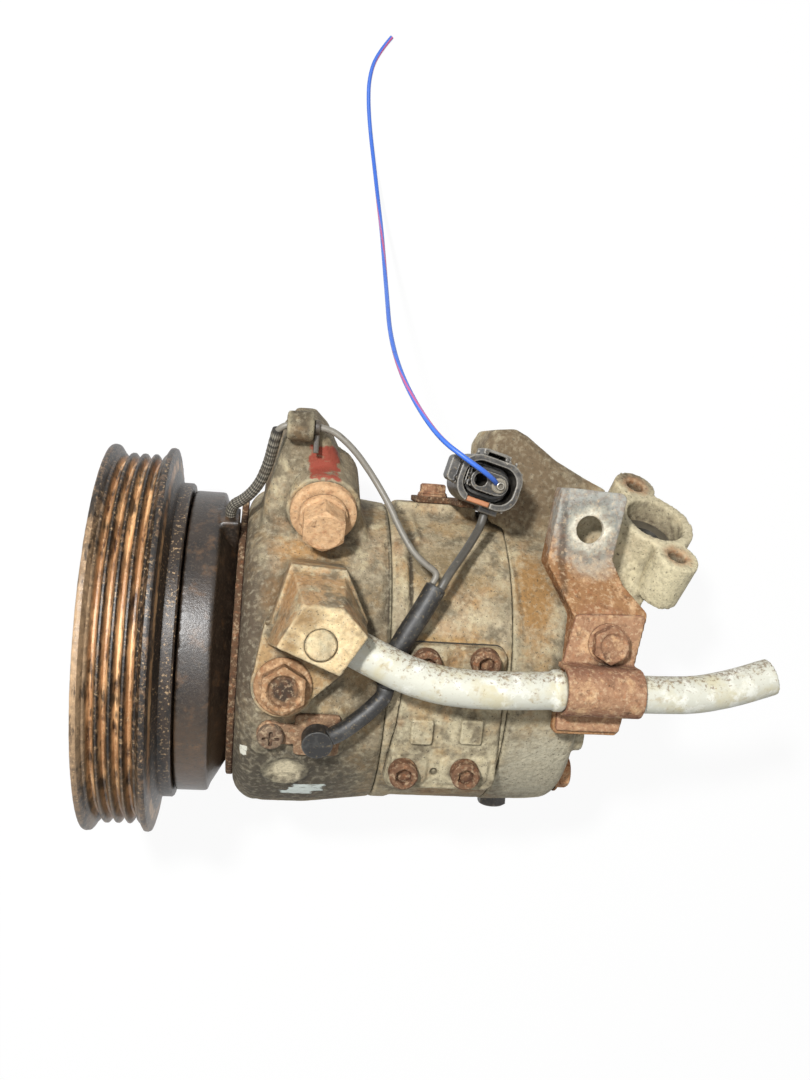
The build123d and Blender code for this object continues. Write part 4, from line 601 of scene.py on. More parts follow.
def rusted_steel(name, look, rust=None, tan=0.5, dark=0.4, stains=()):
    """Low-carbon steel with years of rust: powdery and matt, tan under dust and dark brown in corners, partly
    dark rust and partly painted shade.
    """
    paint, tree, shader, place = blank_material(name, Roughness=0.86)
    shader.inputs["Specular IOR Level"].default_value = 0.2
    tint = layered(
        tree, rust or look.rust,
        (look.tan, blotches(tree, place, 4.5, 0.6 - 0.26 * tan, 0.72 - 0.2 * tan, 0.85)),
        (look.tan, upward(tree, 0.75 * tan)),
        (look.dark, blotches(tree, place, 3.0, 0.66 - 0.2 * dark, 0.76, 0.9)),
        ("#a86d47", blotches(tree, place, 2.0, 0.56, 0.68, 0.45)),
    )
    for centre, reach, code, strength in stains:
        tint = layered(tree, tint, (code, patch(tree, place, centre, reach, strength)))
    # Painted shade with dark rust where other surfaces close in, darker hollows in the skin, then flecks.
    tint = layered(
        tree, tint,
        (look.dark, hollow_shade_and_grime(tree, 3.0, 0.9)),
        (look.dark, bent(tree, 0.49, 0.42, 0.7)),
        ("#6b4630", blotches(tree, place, 1.8, 0.46, 0.68, 0.42, 6.0)),
        ("#2b1d14", blotches(tree, place, 0.7, 0.62, 0.68, 0.5, 3.0)),
        ("#e3c9a4", blotches(tree, place, 1.3, 0.52, 0.68, 0.4, 6.0)),
    )
    tree.links.new(tint, shader.inputs["Base Color"])
    rough_up(tree, shader, place, 0.8, 0.35, 1.0)
    return paint


def machined_metal(name, code, metallic=1.0, roughness=0.3, grain=0.4):
    """Turned or ground metal inside the machine: a clean grey with fine scratches and a film of oil.

    Grinding marks are too fine to show, so grain is the width in mm at which they are drawn.
    """
    paint, tree, shader, place = blank_material(name, Metallic=metallic, Roughness=roughness)
    tint = layered(
        tree, linear(code),
        ("#5f5a52", blotches(tree, place, 6.0, 0.5, 0.7, 0.4)),
        ("#2c2722", blotches(tree, place, 0.8, 0.6, 0.7, 0.3)),
    )
    tree.links.new(tint, shader.inputs["Base Color"])
    rough_up(tree, shader, place, grain, 0.03, 0.25)
    return paint


def moulded(name, code, scuff_and_highlight, roughness=0.5, wear=0.4, dust=0.35, rims=0.52):
    """Moulded rubber or plastic: one even colour with greyed scuffs, pale rims that are worn and on the
    connector also a painted highlight, dust, painted shade in hollows and a dull sheen.
    """
    paint, tree, shader, place = blank_material(name, Roughness=roughness)
    tint = layered(
        tree, linear(code),
        (scuff_and_highlight, blotches(tree, place, 3.0, 0.5, 0.7, wear)),
        # Pale rims: wear, and on the connector also a painted highlight.
        (scuff_and_highlight, bent(tree, rims, rims + 0.05, 0.85)),
        ("#8d7c5d", blotches(tree, place, 0.9, 0.58, 0.7, dust, 3.0)),
        # Painted shade where other surfaces close in.
        ("#0e0c0a", hollow_shade_and_grime(tree, 2.0, 0.6)),
    )
    tree.links.new(tint, shader.inputs["Base Color"])
    rough_up(tree, shader, place, 0.7, 0.08, 0.5)
    return paint


# ---------------------------------------------------------------- operators
class COMPRESSOR_OT_stage(bpy.types.Operator):
    """Sets up the floor, the lamps, the world and the camera."""

    bl_idname = "compressor.stage"
    bl_label = "Stage"

    def execute(self, context):
        scene = context.scene
        scene.view_settings.view_transform = "Standard"
        world = bpy.data.worlds.new("studio")
        scene.world = world
        world.use_nodes = True
        tree = world.node_tree
        soft = tree.nodes["Background"]
        soft.inputs["Color"].default_value = linear("#e9ecef")
        soft.inputs["Strength"].default_value = 0.28
        white = add(tree, "ShaderNodeBackground", {"Color": (1, 1, 1, 1), "Strength": 1.0})
        mixed = add(tree, "ShaderNodeMixShader", {0: seen_rays(tree), 1: soft, 2: white})
        tree.links.new(mixed.outputs[0], tree.nodes["World Output"].inputs["Surface"])

        mesh = bpy.data.meshes.new("floor")
        form = bmesh.new()
        bmesh.ops.create_grid(form, x_segments=2, y_segments=2, size=1.6)
        form.to_mesh(mesh)
        form.free()
        mesh.transform(Matrix.Translation((0.1, 0.06, FLOOR_Z * MM)))
        floor = piece("floor", mesh)
        paper = bpy.data.materials.new("white_paper")
        paper.use_nodes = True
        tree = paper.node_tree
        shader = tree.nodes["Principled BSDF"]
        shader.inputs["Base Color"].default_value = linear("#f4f4f2")
        shader.inputs["Roughness"].default_value = 0.9
        glow = add(tree, "ShaderNodeEmission", {"Color": (1, 1, 1, 1), "Strength": 1.0})
        # Mostly white to those rays, and the rest keeps the object's shadow.
        share = add(tree, "ShaderNodeMath", {0: seen_rays(tree), 1: 0.93}, operation="MULTIPLY")
        mixed = add(tree, "ShaderNodeMixShader", {0: share, 1: shader.outputs[0], 2: glow.outputs[0]})
        tree.links.new(mixed.outputs[0], tree.nodes["Material Output"].inputs["Surface"])
        mesh.materials.append(paper)

        # A small hard key lamp from the upper left, and a wide weak one from the front.
        for name, spot, size, energy in (
            ("key_lamp", (-0.12, 0.24, 0.60), 0.05, 5.2),
            ("front_lamp", (0.04, -0.02, 0.80), 0.35, 1.5),
        ):
            lamp = bpy.data.lights.new(name, "AREA")
            lamp.size = size
            lamp.energy = energy
            made = bpy.data.objects.new(name, lamp)
            scene.collection.objects.link(made)
            aim = Vector((0.09, 0.0, 0.02)) - Vector(spot)
            made.matrix_world = Matrix.Translation(spot) @ aim.to_track_quat("-Z", "Y").to_matrix().to_4x4()

        lens = bpy.data.cameras.new("camera")
        lens.sensor_fit = "VERTICAL"
        lens.sensor_height = 36
        lens.lens = 36.674
        lens.clip_start = 0.01
        lens.clip_end = 20
        camera = bpy.data.objects.new("camera", lens)
        scene.collection.objects.link(camera)
        # The camera's own X, Y and Z, one in each row: it looks nearly straight down.
        facing = Matrix(((0.9898, 0.0722, 0.1224), (-0.0629, 0.9949, -0.0786), (-0.1275, 0.0701, 0.9894)))
        stand = facing.transposed().to_4x4()
        stand.translation = (0.048826, 0.063132, 0.367490)
        camera.matrix_world = stand
        scene.camera = camera
        return {"FINISHED"}


class COMPRESSOR_OT_test_wire(bpy.types.Operator):
    """Lays the loose blue wire from the connector's terminal over to the floor."""

    bl_idname = "compressor.test_wire"
    bl_label = "Loose wire"

    def execute(self, context):
        look = context.scene.compressor_lines
        paint, tree, shader, place = blank_material("pvc_wire_insulation", Roughness=0.42)
        # Thin extruded PVC: an even blue with a slowly winding stripe, dulled by handling.
        stripe = add(tree, "ShaderNodeAttribute", attribute_name="stripe").outputs["Fac"]
        stripe = add(tree, "ShaderNodeMapRange", {"Value": stripe, "From Min": 0.8, "From Max": 0.95})
        tint = layered(
            tree, look.blue,
            (look.pink, stripe),
            ("#5f86d2", blotches(tree, place, 14.0, 0.5, 0.7, 0.35)),
            ("#35466f", blotches(tree, place, 3.0, 0.6, 0.72, 0.4)),
        )
        tree.links.new(tint, shader.inputs["Base Color"])
        rough_up(tree, shader, place, 0.8, 0.02, 0.3)
        bed = -61.75
        route = [(116.3, 58.28, 40.0), (116.3, 58.28, 50.6), (111.6, 61.4, 56.6), (104.4, 65.6, 57.2),
                 (97.4, 70.6, 53.0), (91.2, 79.5, 45.5), (86.6, 91.0, 31.5), (84.9, 104.0, 12.0),
                 (85.1, 117.1, -6.5), (85.0, 131.6, -24.5), (84.6, 146.6, -40.5), (83.4, 160.0, -51.5),
                 (81.6, 174.4, -58.6), (79.4, 187.6, bed + 0.4), (77.9, 198.6, bed), (77.6, 207.6, bed),
                 (79.8, 216.4, bed), (85.2, 223.6, bed)]
        line = smooth_line("wire_line", route)
        wire = swept("loose_wire", line, 0.75, paint, 16, look.stripe_turn / MM, 0.35)
        fit(wire, "compressor", "blue_insulation", "test_wire")
        return {"FINISHED"}


class COMPRESSOR_OT_castings(bpy.types.Operator):
    """Gives the three housings, the valve covers and the discharge fitting their cast skins."""

    bl_idname = "compressor.castings"
    bl_label = "Castings"

    def execute(self, context):
        look = context.scene.compressor_castings
        grain, lumps = look.grain / MM, look.lumps / MM
        # Patches darken this casting on the left and low down, towards -Y, and painted shade darkens the far
        # end of its ear.
        front_paint = cast_aluminium(
            "sand_cast_aluminium_front", look, soot=0.9,
            stains=[
                ((45.0, 6.0, 36.0), (13.0, 40.0, 34.0), "#51463a", 0.9),
                ((59.0, -34.0, 34.0), (32.0, 26.0, 26.0), "#4c463b", 0.95),
                # Painted shade at the far end of the ear, where its top falls away.
                ((60.0, 84.0, 42.0), (20.0, 24.0, 26.0), "#4d4436", 0.95),
                ((70.0, 66.0, 34.0), (14.0, 16.0, 18.0), "#82745b", 0.8),
                ((61.0, 37.0, 44.0), (13.0, 7.0, 12.0), "#b28957", 0.85),
                ((57.0, 22.0, 47.0), (9.0, 9.0, 9.0), "#80623f", 0.7),
                ((80.0, 2.0, 48.0), (8.0, 9.0, 8.0), "#9d835f", 0.8),
                ((59.5, -31.2, 41.3), (9.5, 9.5, 9.5), "#3f3a32", 0.8),
                ((59.5, -31.2, 41.3), (6.0, 6.0, 6.0), "#d2c5a6", 1.0),
                # Painted shadow along the seam with the cylinder.
                ((87.6, 20.0, 40.0), (1.1, 60.0, 60.0), SEAM_SHADOW, 0.8),
            ],
            squares=[
                ((65.4, 61.4, 40.0), (4.4, 4.8, 9.0), "#8b3a2c", 0.9),
                ((67.2, -38.3, 34.0), (4.8, 0.8, 5.0), CHALK, 1.0),
                ((66.6, -39.9, 33.0), (5.2, 0.8, 5.0), CHALK, 1.0),
                ((63.8, -41.4, 32.0), (4.6, 0.75, 5.0), CHALK, 1.0),
                ((46.8, -25.5, 42.3), (1.1, 1.7, 2.0), "#e6e4d4", 0.9),
            ],
        )
        skin("front_casting", "front_head", "compressor", "cast_aluminium", front_paint, grain, lumps, marks=[
            (arc(86.6, 86.6, 49.3, 39, 71), 1.5, -0.9),
            (arc(52.0, 52.0, 51.2, -30, 205), 1.6, -0.35),
        ])
        # Dry dust gives the middle casting its even tan.
        body_paint = cast_aluminium(
            "sand_cast_aluminium_cylinder", look, metal=linear("#b0a184"),
            stains=[
                ((106.0, 8.0, 48.0), (22.0, 5.0, 8.0), "#a98247", 0.8),
                ((104.0, 33.0, 38.0), (15.0, 10.0, 14.0), "#7c6c50", 0.7),
                # Painted shadow along the cylinder's groove.
                ((93.9, 28.0, 40.0), (0.9, 14.0, 18.0), SEAM_SHADOW, 0.85),
                ((104.4, -20.0, 50.0), (2.0, 2.0, 4.0), "#221b13", 0.9),
            ],
        )
        skin("cylinder_casting", "cylinder", "compressor", "cast_aluminium", body_paint, grain, lumps, marks=[
            (arc(93.9, 93.9, 48.7, 38, 72), 1.4, -0.9),
            (arc(94.6, 96.4, 48.4, 14, 36), 1.7, 1.0),
        ])
        # The suction port stays pale and dry, its bore is dark with painted shade, and rust runs down from
        # the bracket.
        rear_paint = cast_aluminium(
            "sand_cast_aluminium_rear", look, metal=linear("#aea286"),
            stains=[
                ((132.0, 28.0, 42.0), (8.0, 26.0, 14.0), "#997343", 0.85),
                ((128.0, 62.0, 22.0), (28.0, 26.0, 22.0), "#6d5c46", 0.95),
                ((138.0, -30.0, 36.0), (18.0, 20.0, 26.0), "#b7b09a", 0.85),
                ((175.0, 48.0, 22.0), (24.0, 26.0, 24.0), "#cfc3a2", 0.8),
                ((178.0, 32.0, 33.0), (16.0, 14.0, 16.0), "#ddd2ae", 0.85),
                # Painted shade inside the port's bore.
                ((173.8, 43.4, 16.8), (13.6, 13.6, 13.6), "#4a3d30", 0.95),
                ((172.0, 61.1, 8.3), (5.6, 5.6, 5.6), LUG_RUST, 0.9),
                ((178.4, 40.1, 35.7), (5.6, 5.6, 5.6), LUG_RUST, 0.9),
            ],
        )
        finer = 0.9 * grain
        skin("rear_casting", "rear_head", "compressor", "cast_aluminium", rear_paint, finer, lumps, marks=[
            (arc(125.4, 128.6, 48.5, 32, 75), 1.1, -0.6),
            (arc(140.0, 140.0, 48.0, -75, -20), 1.6, 0.4),
        ])
        # Die casting leaves the covers crisper and paler than the sand castings.
        cover_paint = cast_aluminium("die_cast_aluminium_cover", look, metal=linear("#b4a98c"))
        skin("valve_covers", "discharge_valve_covers", "compressor", "cast_aluminium", cover_paint, 0.45,
             0.08, rounds=2)
        # The forged block is warmer, and its flat top is rubbed nearly clean.
        block_paint = cast_aluminium(
            "forged_aluminium_fitting", look, metal=linear("#a98760"), soot=0.0,
            stains=[
                ((67.0, 13.6, 78.0), (24.0, 24.0, 3.4), "#e3cb9d", 0.95),
                ((61.0, 20.0, 76.6), (6.5, 4.6, 1.5), "#7f6440", 0.85),
                ((58.0, 13.0, 76.6), (3.0, 4.6, 1.5), "#8b6f47", 0.8),
            ],
        )
        skin("fitting_block", "discharge_fitting", "compressor", "pipe_aluminium", block_paint, 0.45, 0.12,
             2.0, rounds=2)
        plug_paint = cast_aluminium("turned_aluminium_plug", look, metal=linear("#dcc498"), soot=0.0)
        outline = [(0, 0.0), (3.9, 0.0), (4.3, -0.5), (4.5, -0.9), (4.5, -4.0), (0, -4.0)]
        plug = turned("fitting_port_plug", outline, frame_at((65.9, 12.7, 76.0), (0, 0, 1)), plug_paint)
        fit(plug, "compressor", "pipe_aluminium", "fitting_plug")
        return {"FINISHED"}


class COMPRESSOR_OT_clutch(bpy.types.Operator):
    """Turns the belt pulley and finishes the rotor, the coil and the hub."""

    bl_idname = "compressor.clutch"
    bl_label = "Clutch and pulley"

    def execute(self, context):
        look = context.scene.compressor_clutch
        paint, tree, shader, place = blank_material("rusted_forged_steel_pulley", Roughness=0.4)
        # Forged steel, once painted: baked grease shines on the ribs, and powdery rust lies in the grooves.
        across = add(tree, "ShaderNodeMapping", {"Vector": place, "Scale": (0, 1, 1)})
        radius = add(tree, "ShaderNodeVectorMath", {0: across}, operation="LENGTH").outputs["Value"]
        wander = add(tree, "ShaderNodeTexNoise", {"Vector": place, "Scale": 0.35, "Detail": 5.0})
        radius = add(tree, "ShaderNodeMath", {0: wander, 1: 1.8, 2: radius}, operation="MULTIPLY_ADD")
        deep = add(tree, "ShaderNodeMapRange", {"Value": radius, "From Min": 60.1, "From Max": 59.0})
        inner = add(tree, "ShaderNodeMapRange", {"Value": radius, "From Min": 57.0, "From Max": 56.0})
        # The belt runs round the rim, so the streaks are squeezed along the shaft and long around it.
        pale, brown = (
            add(tree, "ShaderNodeMath",
                {0: deep, 1: blotches(tree, place, size, low, high, stretch=(1, along, along))},
                operation="MULTIPLY")
            for size, low, high, along in ((3.0, 0.48, 0.62, 0.16), (1.6, 0.5, 0.64, 0.2))
        )
        tint = layered(
            tree, look.oil,
            ("#6d543d", blotches(tree, place, 2.0, 0.5, 0.6, 0.7)),
            # Tan dust on the +Z half of the front flange, partly a painted sheen.
            ("#c8a680", patch(tree, place, (-1.0, 0.0, 45.0), (6.5, 52.0, 45.0), 0.9, 0.9)),
            (look.valley, deep),
            ("#e0b583", pale),
            ("#4a2f1c", brown),
            ("#8a6c48", patch(tree, place, (8.0, -55.0, 20.0), (22.0, 40.0, 60.0), 0.6, 0.9)),
            (look.shell, inner),
            ("#c9aa82", blotches(tree, place, 0.9, 0.56, 0.68, 0.6, 3.0)),
            ("#0b0805", blotches(tree, place, 2.2, 0.52, 0.62, 0.85, 6.0, (1, 0.22, 0.22))),
        )
        tree.links.new(tint, shader.inputs["Base Color"])
        rough_up(tree, shader, place, 0.8, 0.2, 0.7)
        pulley = turned("belt_pulley", pulley_profile(), Matrix.Rotation(math.radians(90), 4, "Y"), paint,
                        look.segments, wear=look.wear / MM, wear_size=3.5, step=1.2)
        fit(pulley, "pulley", "rusty_steel", "pulley")

        satin, tree, shader, place = blank_material("satin_paint_on_steel", Roughness=0.36)
        # Thin black paint on drawn steel, gone brown: a soft sheen broken by fine dust specks.
        tint = layered(
            tree, look.shell,
            ("#1d1610", blotches(tree, place, 12.0, 0.42, 0.58)),
            # The case is painted a lighter brown towards -Y.
            ("#5f4933", patch(tree, place, (30.0, -34.0, 34.0), (30.0, 26.0, 40.0), 0.6, 0.9)),
            ("#6d5137", blotches(tree, place, 5.0, 0.55, 0.68, 0.5)),
            ("#8f7c66", blotches(tree, place, 0.9, 0.57, 0.66, 0.7, 3.0)),
            ("#0f0b08", blotches(tree, place, 0.9, 0.54, 0.64, 0.8, 3.0)),
        )
        tree.links.new(tint, shader.inputs["Base Color"])
        shader.inputs["Specular IOR Level"].default_value = 0.6
        rough_up(tree, shader, place, 0.8, 0.14, 0.8)
        for name, node, body, *sizes in (
            ("coil_case", "field_coil_shell", "compressor", 0.75, 0.08, 6.0, 3),
            ("clutch_plate", "armature_plate", "armature", 0.6, 0.06, 4.0, 2),
            ("clutch_hub_nose", "clutch_hub", "shaft", 0.45, 0.05, 3.0, 2),
        ):
            skin(name, node, body, "black_steel", satin, *sizes)
        return {"FINISHED"}


def pulley_profile():
    """The pulley's outline as (radius, height along the shaft) points, closed.

    Its friction face lies 0.3 mm deeper than the solid's, so that its worn skin clears the clutch plate.
    """
    pitch, depth, land, angle = 3.56, 2.7, 0.7, math.radians(20)
    flange_w, rim_x, rib_r = 3.3, -1.3, 60.0
    rim_rear = rim_x + 2 * flange_w + 4 * pitch
    outline = [(56.5, rim_x), (61.1, rim_x), (62.2, rim_x + 0.3), (62.45, rim_x + 0.9), (62.3, rim_x + 1.9),
               (61.4, rim_x + 2.5), (60.2, rim_x + flange_w - 0.2)]
    top = (pitch - land) / 2
    floor = top - depth * math.tan(angle)
    for number in range(4):
        middle = rim_x + flange_w + pitch * (number + 0.5)
        outline += [(rib_r - 0.05, middle - top - 0.1), (rib_r - 0.35, middle - top + 0.15),
                    (rib_r - depth + 0.35, middle - floor - 0.12), (rib_r - depth, middle - floor + 0.15),
                    (rib_r - depth, middle + floor - 0.15), (rib_r - depth + 0.35, middle + floor + 0.12),
                    (rib_r - 0.35, middle + top - 0.15), (rib_r - 0.05, middle + top + 0.1)]
    outline += [(60.2, rim_rear - flange_w + 0.2), (61.4, rim_rear - 2.5), (62.3, rim_rear - 1.9),
                (62.45, rim_rear - 0.9), (62.2, rim_rear - 0.3), (61.1, rim_rear), (54.9, rim_rear + 0.7),
                (51.3, rim_rear + 2.2), (51.3, 25.0), (50.9, 25.5), (46.6, 25.5), (46.6, 9.5), (31.5, 9.5),
                (31.5, 26.2), (26.02, 26.2), (26.02, 4.0), (23.8, 4.0), (23.8, 2.6), (31.5, 2.6), (32.5, 6.3),
                (50.5, 6.3), (50.5, 0.5), (56.5, rim_x)]
    return outline


class COMPRESSOR_OT_bolts(bpy.types.Operator):
    """Forges the bolts, screws and washers."""

    bl_idname = "compressor.bolts"
    bl_label = "Bolts and washers"

    def execute(self, context):
        look = context.scene.compressor_steel
        # Dust lies thick on the ear bolt and its washers, which gives them their light tan.
        dusty = rusted_steel("dusty_zinc_plated_bolt", look, rust=linear("#c39a70"), tan=1.0, dark=0.1)
        tilt = math.radians(28.0)
        seat, out = Vector((66.0, 47.3, 39.5)), Vector((0, -math.sin(tilt), math.cos(tilt)))
        ear_bolt = hex_bolt("ear_hex_bolt", frame_at(seat + out * 5.5, out), dusty, 12.0, 7.5, 4.0, 35.5,
                            dish=0.12)
        fit(ear_bolt, "compressor", "zinc_steel", "ear_bolt")
        washer_paint = rusted_steel("dusty_steel_washer", look, rust=linear("#b88f68"), tan=1.0, dark=0.1)
        large = washer("large_washer", frame_at(seat, out), washer_paint, 10.0, 4.05, 3.0)
        small = washer("small_washer", frame_at(seat + out * 3.0, out), washer_paint, 7.3, 4.05, 2.5)
        fit(joined("ear_washer_pair", large, small), "compressor", "zinc_steel", "ear_washers")
        # Oil has soaked into the forged bolts: deep brown, and nearly black in the dish of the head.
        brown = rusted_steel("brown_forged_bolt", look, rust=linear("#8d6b4c"), tan=0.25, dark=0.5,
                             stains=[((56.9, -2.4, 65.1), (5.2, 5.2, 2.2), "#3f342b", 1.0)])
        fitting_bolt = hex_bolt("fitting_hex_bolt", frame_at((56.9, -2.4, 58.0), (0, 0, 1)), brown, 12.0, 8.0,
                                4.0, 21.0, 8.3, 1.6, dish=0.9)
        fit(fitting_bolt, "compressor", "rusty_steel", "fitting_bolt")
        hub_bolt = hex_bolt("hub_flange_bolt", frame_at((6.5, 0, 0), (-1, 0, 0)), brown, 10.0, 5.0, 3.0, 18.0,
                            7.2, 1.2)
        fit(hub_bolt, "shaft", "zinc_steel", "hub_bolt")
        # Bolts that rust alone in the open air stay redder.
        pinkish = rusted_steel("rusted_flange_bolt", look, rust=linear("#85604a"), tan=0.25, dark=0.5)
        clamp_bolt = hex_bolt("clamp_bolt", frame_at((151.2, 14.4, 56.2), (0, 0, 1)), pinkish, 10.0, 5.5,
                              3.0, 12.2, 5.9, 1.2)
        strip_bolt = hex_bolt("strip_bolt", frame_at((103.6, 52.5, 5.0), (0, 1, 0)), pinkish, 8.0, 4.2,
                              2.5, 9.5, 5.0, 1.0)
        fit(joined("bracket_bolt_pair", clamp_bolt, strip_bolt), "compressor", "rusty_steel", "bracket_bolts")
        rusty = rusted_steel("rusted_through_bolt", look, tan=0.4)
        template = hex_bolt("through_bolt", Matrix.Identity(4), rusty, 10.0, 5.0, 3.0, 76.0, 6.6, 1.0)
        places = []
        for angle in (62.0, 152.0, 204.0, 244.0, 330.0):
            a = math.radians(angle)
            places.append(((148.5, 39.5 * math.cos(a), 39.5 * math.sin(a)), (1, 0, 0)))
        ring = set_out("through_bolt_ring", template, places, rusty)
        fit(ring, "compressor", "rusty_steel", "through_bolts")
        # A cap screw's outline, from the floor of its socket over the head and down the shank.
        outline = [(0, 2.0), (2.2, 2.0), (2.2, 4.0), (2.7, 4.4), (3.7, 4.4), (4.3, 3.8), (4.4, 0.3), (4.2, 0),
                   (2.5, 0), (2.5, -12.0), (2.0, -12.8), (0, -12.8)]
        # The small screws sit in grime: their rust is dark, and painted shade makes them darkest in the
        # sockets.
        screw_paint = rusted_steel("rusted_cap_screw", look, rust=linear("#684c3a"), tan=0.1, dark=0.7)
        template = turned("cover_screw", outline, Matrix.Identity(4), screw_paint, flat_r=2.2, step=0.8)
        places = []
        for x, side in ((94.7, -19.4), (113.5, -18.9), (98.2, 16.4), (115.7, 17.4)):
            spot, out = lean(12.0, x, side, 49.8)
            places += [(spot, out), ((spot.x, -spot.y, -spot.z), -out)]
        screws = set_out("cover_screw_set", template, places, screw_paint)
        fit(screws, "compressor", "rusty_steel", "discharge_cover_screws")
        dull = rusted_steel("dull_cross_screw", look, rust=linear("#6d5d4e"), tan=0.1, dark=0.6)
        skin("protector_cross_screw", "protector_screw", "compressor", "rusty_steel", dull, 0.22, 0.05, 1.5,
             rounds=2)
        # Oil keeps this plug's black finish: an even dark face with worn grey edges.
        black = moulded("oiled_black_steel", "#2b2723", "#5d554b", 0.45)
        plug = hex_bolt("oil_filler_plug", frame_at((134.0, -46.6, -5.0), (0, -1, 0)), black, 9.0, 7.4,
                        4.0, 7.5, 6.0, 1.4)
        fit(plug, "compressor", "black_steel", "oil_plug")
        return {"FINISHED"}


class COMPRESSOR_OT_plates(bpy.types.Operator):
    """Presses the bracket, the clamp and the small plates."""

    bl_idname = "compressor.plates"
    bl_label = "Bracket and plates"

    def execute(self, context):
        look = context.scene.compressor_steel
        # Zinc is left round the bracket's hole: chalky and pale, with grey blotches. The rest has rusted.
        bracket_paint = rusted_steel(
            "rusted_pressed_steel_bracket", look, rust=linear("#8b633f"), tan=0.3, dark=0.45,
            stains=[
                ((150.0, 14.0, 56.0), (13.0, 13.0, 13.0), "#8f6048", 0.8),
                ((148.0, 36.0, 43.0), (9.0, 6.0, 9.0), "#b4a58f", 0.8),
                ((147.0, 51.5, 43.0), (20.0, 17.0, 12.0), "#a3a39b", 1.0),
                ((147.0, 46.8, 43.0), (10.6, 10.6, 10.6), "#5d6057", 0.9),
                ((147.0, 46.8, 43.0), (7.9, 7.9, 7.9), "#e2dcc8", 1.0),
                # A thin dark band along the bracket's left edge is a painted shadow.
                ((138.6, 34.0, 42.0), (1.6, 30.0, 14.0), "#3a2d22", 0.6),
            ],
        )
        clamp_paint = rusted_steel("rusted_clamp_strip", look, rust=linear("#8d6650"), tan=0.4, dark=0.4)
        brown = rusted_steel("brown_pressed_plate", look, rust=linear("#806650"), tan=0.15, dark=0.5,
                             stains=[((66.0, -26.5, 49.0), (9.0, 2.0, 3.0), "#b07746", 0.8)])
        dark = rusted_steel("dark_rusted_ring", look, rust=linear("#54402f"), tan=0.0, dark=0.9)
        sooty = moulded("sooty_spring_steel", "#39322a", "#6b6253", 0.5)
        for name, node, slot, *finish in (
            ("pipe_bracket_plate", "pipe_bracket", "zinc_steel", bracket_paint, 0.42, 0.08, 2.5, 2),
            ("pipe_clamp_strip", "pipe_clamp", "rusty_steel", clamp_paint, 0.42, 0.1, 3.0, 3),
            ("protector_cover_plate", "protector_plate", "rusty_steel", brown, 0.3, 0.08, 2.0, 2),
            ("coil_mounting_plate", "field_coil_plate", "rusty_steel", dark, 0.55, 0.1, 4.0, 2),
            ("connector_strip", "connector_bracket", "black_steel", dark, 0.4, 0.08, 3.0, 2),
            ("lead_guide_clip", "lead_clip", "black_steel", sooty, 0.22, 0.04, 2.0, 2),
        ):
            skin(name, node, "compressor", slot, *finish)
        return {"FINISHED"}


class COMPRESSOR_OT_pipe(bpy.types.Operator):
    """Draws the discharge pipe with its bore and its collar."""

    bl_idname = "compressor.pipe"
    bl_label = "Discharge pipe"

    def execute(self, context):
        look = context.scene.compressor_lines
        paint, tree, shader, place = blank_material("oxidised_aluminium_pipe", Roughness=0.6)
        # Drawn aluminium tube: pale chalky oxide, with brown specks of baked dirt on its +Y side, and painted
        # shade where other surfaces close in on it.
        normal = add(tree, "ShaderNodeTexCoord").outputs["Normal"]
        facing = add(tree, "ShaderNodeSeparateXYZ", {0: normal}).outputs["Y"]
        side = add(tree, "ShaderNodeMapRange",
                   {"Value": facing, "From Min": -0.1, "From Max": 0.9, "To Max": 0.15})
        specks = add(tree, "ShaderNodeTexNoise",
                     {"Vector": place, "Scale": 0.8, "Detail": 7.0, "Roughness": 0.75})
        dirt = add(tree, "ShaderNodeMath", {0: specks, 1: side}, operation="ADD")
        dirt = add(tree, "ShaderNodeMapRange",
                   {"Value": dirt, "From Min": 0.62, "From Max": 0.72, "To Max": 0.8})
        tint = layered(
            tree, look.pipe,
            ("#bfb48d", blotches(tree, place, 8.0, 0.48, 0.66, 0.6)),
            ("#e6e6dc", blotches(tree, place, 5.0, 0.52, 0.64, 0.7)),
            ("#a08a5f", blotches(tree, place, 3.0, 0.58, 0.68, 0.5)),
            (look.pipe_speck, dirt),
            ("#8c7145", blotches(tree, place, 1.2, 0.64, 0.72, 0.7, 3.0)),
            ("#5e4c33", hollow_shade_and_grime(tree, 4.0, 0.7)),
        )
        tree.links.new(tint, shader.inputs["Base Color"])
        rough_up(tree, shader, place, 0.9, 0.14, 0.5)
        skin("discharge_line", "discharge_pipe", "compressor", "pipe_aluminium", paint, 0.42, 0.05, 3.0,
             rounds=2)
        return {"FINISHED"}


